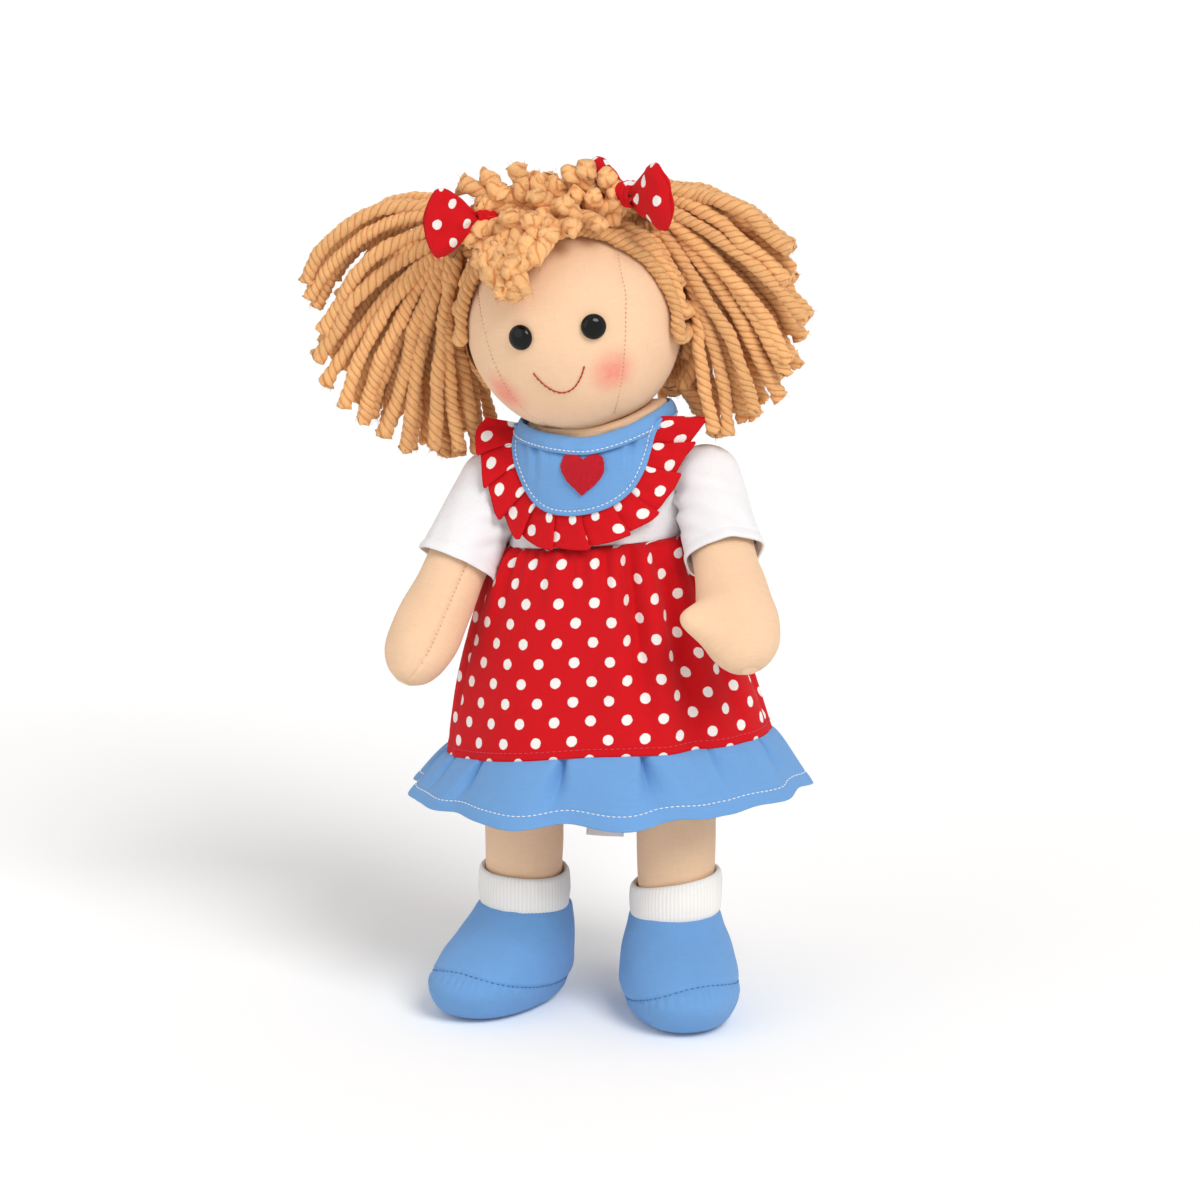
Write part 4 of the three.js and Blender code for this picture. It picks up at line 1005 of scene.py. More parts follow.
def skirt_piece(settings):
    """The skirt's cloth from the waist to a little past the hem seam, with its seam's stitches just above
    it. The dots are laid out along the cloth: from the middle of the front or back along each row, up to
    the side seams."""
    columns = 560
    share = np.linspace(0, 1.012, 88)[:, None]
    angle = np.radians(np.linspace(-270, 90, columns, endpoint=False))[None]
    points = skirt_points(share + 0 * angle, angle + 0 * share)
    lip = 1.3 * np.exp(-share / 0.008)
    points = points - level_out(points) * (lip + 0 * angle)[..., None]
    front = int(round((270 - 91.7) / 360 * columns))
    along, down = cloth_places(points, front)
    turned = np.linspace(-270, 90, along.shape[1])
    along = np.where(turned < -180, along - along[:, :1], np.where(turned > 0, along - along[:, -1:], along))
    hem = np.interp(1.0, share[:, 0], down)
    surface = Surface().grid(points, u=along, v=np.tile((hem - down - 5.8)[:, None], (1, along.shape[1])),
                             wrap=(False, True), middle=(BODY_X, 0, 150))
    piece = surface.piece("skirt_cloth", "red", None, "red_spotted_cotton", ["skirt"], wall=0.6)
    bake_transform(piece)
    around = np.linspace(0, 2 * math.pi, 2400)
    row = stitches(Surface(), skirt_points(0.972 + 0 * around, around, 0.12), level_out, 1.5, 0.8, 0.17)
    threads = row.piece("hem_stitches", "thread_red", None, "red_spotted_cotton")
    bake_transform(threads)


def frill_piece(settings):
    """The blue frill under the skirt, with a stitched hem above its lower edge."""
    share = np.linspace(-0.05, 1, 60)[:, None]
    columns = 820
    angle = round_angles(columns)
    points = frill_points(np.maximum(share, 0) + 0 * angle, angle + 0 * share)
    points[..., 2] += np.maximum(-share, 0) * 24
    turned = 0.3 * bell(share, 0.91, 0.09) - 0.3 * bell(share, 0.80, 0.022)
    points = points + level_out(points) * (turned + 0 * angle)[..., None]
    surface = Surface().grid(points, u=FRILL_LENGTH / columns, v=share[:, 0] * FRILL_WIDTH,
                             wrap=(False, True), middle=(BODY_X, 0, 100))
    piece = surface.piece("frill_cloth", "blue", None, "blue_cotton", ["frill"], wall=0.6)
    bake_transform(piece)
    along = np.linspace(0, 2 * math.pi, 2600)
    row = stitches(Surface(), frill_points(0.80 + 0 * along, along, -0.1), level_out, 1.4, 0.75, 0.2)
    threads = row.piece("frill_stitches", "thread_white", None, "blue_cotton")
    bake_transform(threads)


def closure_piece(settings):
    """Two small patches on the back of the shirt: a tape and the flap over it, on the torso's oval."""
    for name, node, out, slot, finish in [
            ("closure_tape_cloth", "closure_tape", 3.0, "closure_tape", "tape"),
            ("closure_flap_cloth", "closure_flap", 4.6, "white_jersey", "white")]:
        x = np.linspace(-5, 5, 24)[None] * np.ones((50, 1))
        z = np.linspace(WAIST_Z + 0.4, WAIST_Z + 26.2, 50)[:, None] + 0 * x
        half_width, half_depth = torso_halves(z, out)
        y = half_depth * np.sqrt(1 - (x / half_width) ** 2) + 0.15 * waves(np.stack([x, 0 * x, z], -1), 8, 3)
        surface = Surface().grid(np.stack([BODY_X + x, y, z], -1), u=x, v=z, middle=(BODY_X, 0, 205))
        piece = surface.piece(name, finish, "torso", slot, [node], wall=1.0)


def seat_piece(settings):
    """The stuffed lower body in white cotton, and the blank tab that hangs from its seam."""
    table = smooth_table([[0, 0.55], [0.06, 0.78], [0.2, 0.93], [0.55, 1], [0.9, 0.99], [1, 0.96]], 50)
    angle = round_angles(140)
    share, wide = table[:, :1], table[:, 1:]
    points = oval(SEAT_HALF_WIDTH * wide, SEAT_HALF_DEPTH * wide, SEAT_BOTTOM + SEAT_HEIGHT * share, angle)
    points = points + [BODY_X, 0, 0]
    points = points + level_out(points) * (0.5 * waves(points, 16, 17))[..., None]
    surface = Surface().closed(points, u=1.35, v=0.7)
    surface.piece("seat_cloth", "plain", "seat", "white_cotton", ["seat"])
    across = np.linspace(-7.5, 7.5, 30)[None]
    down = np.linspace(0, 1, 90)[:, None]
    x = BODY_X + across + 1.0 * np.sin(3 * down)
    y = 10 - 2.2 * np.sin(2.4 * down) + 0.5 * np.sin(across / 4 + 5 * down)
    z = 125.7 - 60 * down + 0 * across
    surface = Surface().grid(np.stack([x, y + 0 * x, z], -1), u=across[0], v=down[:, 0] * 60,
                             middle=(BODY_X, 40, 95))
    piece = surface.piece("label_cloth", "satin", "seat", "label_satin", ["label_tab"], wall=0.5)


def legs_piece(settings):
    """Stuffed legs: a ball at the hip that runs into a straight shank, drawn in a little at the ankle."""
    turn_rows = np.radians(np.linspace(3, 88, 26))
    shank = smooth_table([[0.0, 1.0], [0.3, 1.0], [0.55, 0.985], [0.8, 0.96], [1, 0.95]], 70)
    reach = np.concatenate([LEG_RADIUS * np.cos(turn_rows[::-1]), LEG_RADIUS * shank[:, 1]])[:, None]
    height = np.concatenate([LEG_RADIUS * np.sin(turn_rows[::-1]), -LEG_LENGTH * shank[:, 0]])[:, None]
    angle = round_angles(120)
    for name, side in SIDES.items():
        points = oval(reach, reach, height, angle) + HIPS[name]
        out = level_out(points, HIPS[name])
        inner = np.radians(90 - side * 60)
        seam = bell(apart(angle, inner) * LEG_RADIUS, 0, 0.8)
        change = 0.3 * waves(points, 22, 40 + side) - 0.3 * seam
        points = points + out * change[..., None]
        surface = Surface().closed(points, u=0.83, v=height[:, 0])
        piece = surface.piece(f"leg_cloth_{name}", "flesh", f"leg_{name}", "flesh_cotton", [f"leg_{name}"])


def socks_piece(settings):
    """A folded rib cuff round each ankle: a thick, uneven ring with rounded edges and ribs all round."""
    profile = np.array([[0.05, 0], [0.6, 0.02], [0.95, 0.12], [1.05, 0.4], [1.0, 0.75], [0.9, 0.95],
                        [0.55, 1.03], [0.15, 0.97], [0, 0.7], [0, 0.3]])
    rows = 44
    index = np.linspace(0, len(profile), rows, endpoint=False)
    closed = np.vstack([profile, profile[:1]])
    shape = np.stack([np.interp(index, np.arange(len(closed)), closed[:, k]) for k in range(2)], 1)
    for _ in range(2):
        shape = (np.roll(shape, 1, 0) + 2 * shape + np.roll(shape, -1, 0)) / 4
    angle = round_angles(360)
    for name, side in SIDES.items():
        foot = HIPS[name] * [1, 1, 0]
        ribs = 0.16 * np.cos(72 * angle) * shape[:, :1]
        radius = 15.2 + 2.7 * shape[:, :1] + ribs
        tilt = np.cos(angle) * (1.0 + 1.8 * shape[:, 1:]) if side > 0 else -0.8 * np.cos(angle)
        uneven = 0.4 * np.sin(angle + 1.0 + side) * shape[:, 1:] + 0.2 * np.sin(3 * angle)
        z = SOCK_BOTTOM + SOCK_HEIGHT * shape[:, 1:] + uneven + tilt
        points = oval(radius, radius, z, angle) + foot
        out = level_out(points, foot)
        points = points + out * (0.25 * waves(points, 9, 50 + side) * shape[:, :1])[..., None]
        surface = Surface().ring(points, u=0.32, v=0.85)
        piece = surface.piece(f"sock_cloth_{name}", "rib", f"leg_{name}", "white_rib", [f"sock_{name}"])


FOOT_TABLE = smooth_table([
    [0, 0.2, 0.62, 0.58], [0.05, 0.225, 0.84, 0.8], [0.17, 0.255, 0.95, 0.93], [0.3, 0.275, 1, 1],
    [0.42, 0.27, 0.985, 1], [0.56, 0.215, 0.9, 0.97], [0.7, 0.13, 0.76, 0.91], [0.85, 0.03, 0.6, 0.83],
    [0.96, 0, 0.51, 0.78], [1, 0, 0.46, 0.72],
])


def seam_height(angle, side):
    """The height of the foot's seam: highest over the toe, lower at both sides and lowest behind. The left
    foot's outer side is the higher one."""
    lean = 3.0 if side > 0 else -0.4
    return 8.0 + 13.0 * (0.5 - 0.5 * np.sin(angle)) - 3.5 * np.cos(angle) ** 2 + lean * np.cos(angle)


def foot_points(z, angle, side, pinch=1.0):
    """Points on the foot at heights and angles: a squarish oval of the foot's table, pulled in along the seam
    between upper and sole, puckered under it near the toe, and turned out at the toe."""
    share = np.clip(z / FOOT_HEIGHT, 0, 1)
    middle, length, width = read_table(FOOT_TABLE, share)
    c, s = np.cos(angle), np.sin(angle)
    reach = (np.abs(c) ** 2.15 + np.abs(s) ** 2.15) ** (-1 / 2.15)
    over = z - seam_height(angle, side)
    seam = 0.5 * bell(over, 0, 0.9) + 0.3 * bell(over, 0, 3.5)
    toe = np.clip(0.4 - s, 0, 1)
    pucker = 0.24 * np.sin(44 * angle + 2 * np.sin(5 * angle)) * bell(over, -2.2, 2.8) * toe
    x = (FOOT_HALF_WIDTH * width - seam * pinch + pucker) * reach * c
    y = -FOOT_HALF_LENGTH * middle + (FOOT_HALF_LENGTH * length - seam * pinch + pucker) * reach * s
    points = np.stack([x, y, z + 0 * x], -1)
    points = points @ turn("Z", side * TOE_OUT).T + HIPS["left" if side > 0 else "right"] * [1, 1, 0]
    if side < 0:
        points[..., 0] -= 4.5 * np.clip(1.2 - 1.2 * share, 0, 1)
    return points


def shoes_piece(settings):
    """The stuffed foot in two cloth shells that meet at a sewn seam: the upper above and the sole below."""
    angle = round_angles(300)
    for name, side in SIDES.items():
        ankle = HIPS[name] * [1, 1, 0]
        for part, rows in (("shoe", 90), ("sole", 60)):
            seam = seam_height(angle, side)
            t = np.linspace(0, 1, rows)[:, None]
            z = seam + (FOOT_HEIGHT - seam) * t if part == "shoe" else seam * t
            points = foot_points(z, angle + 0 * z, side)
            out = level_out(points, ankle)
            hold = np.clip(np.abs(z - seam) / 4, 0, 1) * np.clip(z / 3, 0, 1)
            points = points + out * (0.4 * waves(points, 20, 60 + side) * hold)[..., None]
            surface = Surface().closed(points, u=0.66, v=t[:, 0] * 24)
            piece = surface.piece(f"{part}_cloth_{name}", "foot", f"leg_{name}", "blue_foot_cotton",
                                  [f"{part}_{name}"])
        along = np.linspace(0, 2 * math.pi, 700)
        path = foot_points(seam_height(along, side), along, side, 0.75)
        row = stitches(Surface(), path, lambda p: level_out(p, ankle), 1.1, 1.2, 0.2)
        row.piece(f"shoe_stitches_{name}", "thread_foot", f"leg_{name}", "blue_foot_cotton")


def arm_matrix(name):
    """The turn that hangs an arm: spread sideways first, and then swung forward."""
    return turn("X", -ARM_FORWARD[name]) @ turn("Y", -SIDES[name] * ARM_SPLAY[name])


ARM_SEAMS = {"left": math.radians(100.0), "right": math.radians(-58.0)}
HAND_WIDTHS = {"left": 1.03, "right": 0.94}
THUMBS = {"left": math.radians(215.0), "right": math.radians(100.0)}


def arm_points(name, along, angle, outset=0.0):
    """Points on an arm at lengths from the shoulder and angles round it. The thumb is a bulge: a bell over
    angle and length, to a power above two so that its tip is blunt."""
    share = np.clip(along / ARM_LENGTH, 0, 1)
    width, depth = (ARM_RADIUS * column + outset for column in read_table(ARM_TABLE, share))
    width = width * (1 + (HAND_WIDTHS[name] - 1) * np.clip((share - 0.4) / 0.3, 0, 1))
    round_top = np.sqrt(np.clip(1 - (np.minimum(along, 0) / (ARM_TOP + outset)) ** 2, 0, 1))
    x, y, z = width * round_top * np.cos(angle), depth * round_top * np.sin(angle), -along + 0 * angle
    at = THUMBS[name]
    past = np.abs((along - 0.745 * ARM_LENGTH) / 7.2)
    thumb = 9.5 * np.exp(-np.abs(apart(angle, at) / 0.48) ** 2.5 - past**2.5)
    return np.stack([x + thumb * math.cos(at), y + thumb * math.sin(at), z + 0.05 * thumb], -1)


ARM_TABLE = smooth_table([
    [0.0, 0.9, 0.9], [0.2, 0.88, 0.88], [0.42, 0.88, 0.87], [0.6, 0.99, 0.89], [0.76, 1.07, 0.89],
    [0.88, 0.95, 0.77], [0.96, 0.62, 0.52], [1, 0.2, 0.18],
])


def arms_piece(settings):
    """Stuffed arms: a ball at the shoulder, a tapering tube and a rounded mitten hand with a thumb, with a
    seam that puckers the cloth beside it."""
    along = np.concatenate([-ARM_TOP * np.cos(np.linspace(0.06, math.pi / 2, 20)), np.linspace(1, 84, 110),
                            [84.8, 85.4, 85.9]])
    along = along[:, None]
    angle = round_angles(150)
    for name, side in SIDES.items():
        points = arm_points(name, along + 0 * angle, angle + 0 * along)
        far = apart(angle, ARM_SEAMS[name]) * ARM_RADIUS
        puckers = 0.2 * np.sin(along * 1.5 + 2 * np.sin(along / 9)) * bell(far, 0, 2.8)
        change = 0.35 * waves(points, 20, 70 + side) - 0.7 * bell(far, 0, 1.0) + puckers
        points = (points + level_out(points, 0) * change[..., None]) @ arm_matrix(name).T + SHOULDERS[name]
        surface = Surface().closed(points, u=0.59, v=along[:, 0])
        piece = surface.piece(f"arm_cloth_{name}", "flesh", f"arm_{name}", "flesh_cotton", [f"arm_{name}"])
        length = np.linspace(34, 80, 120)
        path = arm_points(name, length, ARM_SEAMS[name] + 0 * length, -0.6)
        seam_way = arm_matrix(name) @ [math.cos(ARM_SEAMS[name]), math.sin(ARM_SEAMS[name]), 0]
        path = path @ arm_matrix(name).T + SHOULDERS[name]
        row = stitches(Surface(), path, lambda p: seam_way + 0 * p, 0.7, 1.1, 0.15)
        row.piece(f"arm_seam_{name}", "thread_skin", f"arm_{name}", "flesh_cotton")


def sleeves_piece(settings):
    """Loose sleeves: a round cap over the shoulder that runs into a tube, which widens to a turned hem.
    Creases run from the armpit down and across it."""
    outer, length = 13.9, 35.0
    cap = np.radians(np.linspace(2, 90, 26))
    along = np.concatenate([-outer * np.cos(cap), np.linspace(0.6, length, 72)])[:, None]
    reach = np.concatenate([outer * np.sin(cap), outer + 1.3 * np.linspace(0, 1, 72)])[:, None]
    angle = round_angles(200)
    for name, side in SIDES.items():
        grown = np.clip(along / length, 0, 1)
        hem = 0.35 * bell(along, length - 1.5, 1.6) - 0.35 * bell(along, length - 4.6, 0.45)
        slack = 0.5 * grown * np.cos(2 * angle + 0.8 * side) + 0.35 * grown * np.cos(5 * angle + 1)
        armpit = math.pi if side > 0 else 0.0
        across = apart(angle, armpit) * outer
        folds = 0.0
        for at, slope, depth, wide in [(3, 0.35, 1.2, 2.0), (10, 0.55, 1.1, 2.2), (18, 0.75, 0.8, 2.4)]:
            line = along - at - slope * np.abs(across)
            folds = folds - depth * bell(line, 0, wide) + 0.6 * depth * bell(line, -2.2 * wide, wide)
        folds = folds * bell(across, 0, 21)
        spread = reach + hem + slack + folds
        points = oval(spread, spread, -along, angle)
        creases = 0.55 * waves(points * [1, 1, 0.5], 13, 80 + side) * (0.3 + 0.7 * grown)
        points = points + level_out(points, 0) * (creases * np.clip(reach / 8, 0, 1))[..., None]
        points = points @ arm_matrix(name).T + SHOULDERS[name]
        middle = SHOULDERS[name] + arm_matrix(name) @ [0, 0, -14.0]
        surface = Surface().grid(points, u=0.48, v=along[:, 0], wrap=(False, True), caps=(True, False),
                                 middle=middle)
        piece = surface.piece(f"sleeve_cloth_{name}", "white", f"arm_{name}", "white_jersey",
                              [f"sleeve_{name}"], wall=0.9)


# Hair and bows, in the head's own frame

CROWN_HALVES = HEAD_HALVES + 3.3
LOWEST = {"left": 101.0, "right": 85.0}
TIE_PLACE = {name: np.array([side * 36.0, 4.0, 43.0]) for name, side in SIDES.items()}


def outside_crown(points, extra):
    """Points in the doll's frame moved out of the crown's oval, grown by a distance."""
    halves = CROWN_HALVES + extra
    local = (points - HEAD_CENTRE) @ HEAD_TURN / halves
    reach = np.linalg.norm(local, axis=-1, keepdims=True)
    return in_head(local * np.maximum(1, 1 / np.maximum(reach, 1e-6)) * halves)


def strand(surface, path, radius, seed, tone, root=0.75, frayed=True, step=0.75):
    """One soft three-ply strand along a path. Round it, each ply is an arc of a circle set off from the
    strand's middle, so that the outline has three low lobes, and the columns turn with the plies once in 9
    mm. The root is narrower, and a cut end swells, loses its twist's lobes and stops at a different length
    in each ply."""
    draw = np.random.default_rng(seed)
    radius = radius * draw.uniform(0.92, 1.1)
    path, gone = even_path(path, step)
    knots = np.linspace(0, gone[-1], 7)
    wobble = np.stack([np.interp(gone, knots, draw.normal(0, 0.7, 7)) for _ in range(3)], 1)
    path = path + wobble * np.clip(gone / 12, 0, 1)[:, None]
    ahead = unit(np.gradient(path, axis=0))
    up = np.array([0.0, 1.0, 0.0]) + draw.normal(0, 0.15, 3)
    side = unit(np.cross(ahead, up))
    over = np.cross(side, ahead)
    columns = 15
    column = np.arange(columns)
    in_ply = (column % 5 - 2) / 5 * math.radians(120)
    tuft = root > 0.9 and frayed
    deep = 0.24 if tuft else 0.33
    lobe = deep * np.cos(in_ply) + np.sqrt((1 - deep) ** 2 - (deep * np.sin(in_ply)) ** 2)
    pitch = 9.0 * draw.uniform(0.88, 1.15) * (1.5 if tuft else 1.0)
    angle = column * (2 * math.pi / columns) + gone[:, None] * (2 * math.pi / pitch) + draw.uniform(0, 6.28)
    left = gone[-1] - gone
    size = root + (1 - root) * np.clip(gone / 12, 0, 1) ** 0.7
    size = size * (1 + 0.06 * np.sin(gone / 3.1 + draw.uniform(0, 6)) + 0.04 * np.sin(gone / 1.3))
    size = size[:, None] * (1 + 0.05 * waves(path[:, None] + angle[..., None] * 2, 4.0, seed % 97))
    if frayed:
        size = size * (1 + 0.2 * np.exp(-left / 2.4))[:, None]
        size = size * (1 + 0.1 * draw.normal(0, 1, (1, columns)) * np.exp(-left / 1.8)[:, None])
    reach = radius * size * lobe[None]
    points = path[:, None] + reach[..., None] * (np.cos(angle)[..., None] * side[:, None]
                                                 + np.sin(angle)[..., None] * over[:, None])
    if frayed:
        plies = np.repeat(draw.uniform(-1.3, 1.6, 3), 5) + draw.uniform(-0.5, 0.5, columns)
        points = points + ahead[:, None] * (plies * np.exp(-left / 1.6)[:, None])[..., None]
    last = path[-1] + ahead[-1] * (0.2 if frayed else 0.6)
    end = last + (points[-1] - last) * 0.5 + ahead[-1] * (0.7 if frayed else 0.4)
    points = np.concatenate([points, end[None]])
    lengths = np.append(gone, gone[-1] + 1.0)
    surface.closed(points, u=np.arange(columns + 1) / 5 + 0.1, v=lengths + draw.uniform(0, 50), tone=tone)
    return path, gone, ahead, radius


def fuzz(surface, path, gone, ahead, radius, seed, count):
    """Loose fibres of a strand: thin three-sided spikes that start inside the yarn, lean along it and bend
    over. More of them stand at its cut end."""
    draw = np.random.default_rng(seed)
    spot = np.where(draw.uniform(0, 1, count) < 0.35, gone[-1] - draw.exponential(1.2, count),
                    draw.uniform(4, gone[-1], count)).clip(0, gone[-1])
    at = np.stack([np.interp(spot, gone, path[:, k]) for k in range(3)], -1)
    along = unit(np.stack([np.interp(spot, gone, ahead[:, k]) for k in range(3)], -1))
    out = unit(np.cross(along, unit(draw.normal(0, 1, (count, 3)))))
    lean = draw.uniform(0.3, 1.0, (count, 1))
    long = radius * draw.uniform(0.3, 0.75, (count, 1))
    start = at + out * radius * 0.72
    middle = start + out * long * 0.75 + along * long * lean * 0.5
    tip = middle + out * long * 0.2 + along * long * lean * 1.1 + draw.normal(0, 0.15, (count, 3))
    across = np.cross(along, out)
    rings = []
    for place, wide in ((start, 0.12), (middle, 0.075), (tip, 0.02)):
        corners = [across * math.cos(a) + unit(out + along) * math.sin(a) for a in (0, 2.09, 4.19)]
        rings.append(np.stack([place + wide * corner for corner in corners], 1))
    surface.bars(np.stack(rings, 1), 0.9)


BUNCH_TIPS = {
    "right": [(-64.6, -23.9), (-63.1, -32.6), (-59.3, -46.3), (-58.2, -56.3), (-53.0, -66.1), (-46.3, -77.8),
              (-40.3, -85.5), (-32.3, -87.1), (-16.3, -92.3), (-4.3, -93.7), (7.8, -91.1)],
    "left": [(57.6, -16.6), (58.5, -30.2), (63.3, -49.7), (58.5, -60.0), (55.6, -67.8), (49.0, -78.0),
             (43.2, -86.3), (33.4, -94.7), (19.6, -93.0), (8.0, -92.0), (-4.0, -90.0)],
}
BUNCH_LAYERS = [(11, -7.0, 1.0), (12, 2.0, 0.985), (11, 11.0, 0.97), (9, 20.0, 0.93)]


BUNCH_BENDS = {
    "right": [(18, 60, 45), (32, 36, 30), (47, 12, 12), (75, 8, 6), (95, 10, 4), (120, 12, 4)],
    "left": [(10, 33, 25), (18, 33, 25), (32, 22, 18), (47, 9, 13), (75, 7, 8), (95, 12, 4), (120, 14, 4)],
}


def bunches_piece(settings):
    """Each bunch is layers of strands from the tie to tips read from a table. A strand starts at the height
    in the tie that its fall calls for. It leaves above the straight line to its tip and comes down below
    it, by angles from a table."""
    radius = settings.strand_radius / MM
    for name, side in SIDES.items():
        surface = Surface()
        tips = smooth_path([(x, 0, z) for x, z in BUNCH_TIPS[name]], 200)
        bends = np.array(BUNCH_BENDS[name], float)
        draw = np.random.default_rng(90 + side)
        for layer, (count, back, reach) in enumerate(BUNCH_LAYERS):
            for k in range(count):
                share = np.clip((k + 0.5 * (layer % 2) + draw.uniform(-0.3, 0.3)) / (count - 0.5), 0, 1)
                tip = tips[int(share * 199)] * reach * draw.uniform(0.93, 1.0)
                behind = 14.0 if side > 0 and share > 0.75 else 0.0
                tip = tip + [0, back + behind * min(1, (share - 0.7) * 8) + draw.uniform(-3, 3), 0]
                rank = 5.0 * (1 - 2 * share) + draw.uniform(-1.3, 1.3)
                first = np.array([-side * 0.7 * rank, back * 0.16 + draw.uniform(-1.5, 1.5), 0.66 * rank])
                line = tip - first
                length = math.hypot(line[0], line[2])
                down = math.degrees(math.atan2(-line[2], side * line[0]))
                leave = math.radians(down - np.interp(down, bends[:, 0], bends[:, 1]) + draw.uniform(-6, 6))
                arrive = math.radians(down + np.interp(down, bends[:, 0], bends[:, 2]) + draw.uniform(-6, 6))
                way_out = np.array([side * math.cos(leave), back / 60, -math.sin(leave)])
                way_in = np.array([side * math.cos(arrive), 0, -math.sin(arrive)])
                path = arc(first, first + 0.42 * length * way_out, tip - 0.42 * length * way_in, tip, 90)
                path = path + TIES[name]
                path = outside_crown(path, radius + 1.0)
                path = clear_of(path, SHOULDERS[name] + [0, -7, -2], 19.5)
                path = clear_of(path, np.array([BODY_X, 0, 215.0]), 47.0)
                seed = draw.integers(1 << 30)
                fuzz(surface, *strand(surface, path, radius, seed, draw.uniform(0, 1)), seed, 46)
        surface.piece(f"bunch_yarn_{name}", "yarn", f"bunch_{name}", "yarn", [f"bunch_{name}"])


def tie_frame(name):
    """The way from the head's middle to a tie, and two ways across it."""
    towards = unit(TIE_PLACE[name])
    across = unit(np.cross(towards, [0, 1.0, 0]))
    return towards, across, np.cross(towards, across)


def on_oval(ways, halves):
    """Points of an oval in the given directions from its middle."""
    return ways / np.linalg.norm(ways / halves, axis=-1, keepdims=True)


def scalp_path(ways, name, landing):
    """A path over the crown through the given directions, which rises to the tie at its end. landing turns
    the place where it meets the ring round the tie."""
    towards, across, over = tie_frame(name)
    off = math.cos(landing) * across + math.sin(landing) * over
    ways = np.vstack([ways, unit(towards + 0.16 * off)])
    surface = on_oval(unit(smooth_path(ways, 160)), CROWN_HALVES)
    ring = TIE_PLACE[name] * 0.92 + 7.0 * off
    rise = np.linspace(0, 1, 30)[1:, None]
    handle = surface[-1] + (surface[-1] - surface[-8]) * 0.8
    climb = (1 - rise) ** 2 * surface[-1] + 2 * rise * (1 - rise) * handle + rise**2 * ring
    return in_head(np.vstack([surface, climb]))


def great_arc(first, last, count=9):
    """Directions evenly spaced on the shortest way over a ball between two of them."""
    first, last = unit(np.asarray(first, float)), unit(np.asarray(last, float))
    wide = math.acos(float(np.clip(first @ last, -1, 1)))
    share = np.linspace(0, 1, count)[:-1, None]
    return (np.sin((1 - share) * wide) * first + np.sin(share * wide) * last) / math.sin(wide)


def landing_angle(name, way):
    """The place on the ring round the tie that faces a direction it is reached from."""
    _, across, over = tie_frame(name)
    return math.atan2(way @ over, way @ across)


def crown_courses(name):
    """The crown's strands on one side, each as directions over the head and the one that it meets the tie
    from. The first ones follow the edge of the face down and turn up behind it, the next lie on great
    circles from the parting and the last ones rise from the nape."""
    side, towards = SIDES[name], unit(TIE_PLACE[name])
    courses = []
    for k in range(4):
        forward, lowest = 25.0 - 6.6 * k, LOWEST[name] - 13.0 * k
        shift = 17.5 - 5.5 * k - forward
        turns = [(b, forward + shift * min(b / 60, 1)) for b in np.linspace(2, lowest, 7)]
        b, g = turns[-1]
        turns += [(b - up, g - back * (1 - 0.12 * k)) for up, back in [(1, 22), (8, 36), (24, 42), (44, 32)]]
        b, g = np.radians(turns).T
        ways = np.stack([side * np.sin(b) * np.cos(g), -np.sin(g), np.cos(b) * np.cos(g)], 1)
        courses.append((ways, ways[-1]))
    for alpha in np.arange(24, -127, -6.7):
        start = np.array([side * 0.03, -math.sin(math.radians(alpha)), math.cos(math.radians(alpha))])
        courses.append((great_arc(start, towards)[: 7 if alpha > -60 else 8], start))
    for azimuth in np.radians(np.arange(10, 84, 7.5)):
        start = np.array([side * math.sin(azimuth) * 0.89, math.cos(azimuth) * 0.89, -0.47])
        courses.append((great_arc(start, towards)[:7], start))
    return courses


def crown_piece(settings):
    """Strands over the crown to the ties, and under them a scalp: rings from the hair's edge to the back."""
    radius = settings.strand_radius / MM
    surface = Surface()
    for name, side in SIDES.items():
        draw = np.random.default_rng(120 + side)
        for ways, start in crown_courses(name):
            path = scalp_path(ways, name, landing_angle(name, start))
            strand(surface, path, radius, draw.integers(1 << 30), draw.uniform(0, 1), 0.9, False)
    surface.piece("crown_yarn", "yarn", "head", "yarn", ["hair_crown"])
    turned = np.linspace(-math.pi, math.pi, 180, endpoint=False)[None]
    off = np.degrees(np.abs(turned))
    edge = np.radians(np.interp(off, [0, 60, 98, 112, 135, 180], [23, 16, 12, -8, -42, -62]))
    share = np.linspace(0, 1, 80)[:, None]
    forward = edge * (1 - share) - math.radians(89.8) * share
    level = np.cos(forward)
    ways = np.stack([np.sin(turned) * level, -np.sin(forward), np.cos(turned) * level], -1)
    scalp = Surface().grid(in_head(on_oval(ways, HEAD_HALVES + 1.2)), u=0.6, v=1.1, wrap=(False, True),
                           caps=(False, True), tone=0.2, middle=HEAD_CENTRE)
    scalp.piece("scalp_cloth", "yarn", "head", "yarn")


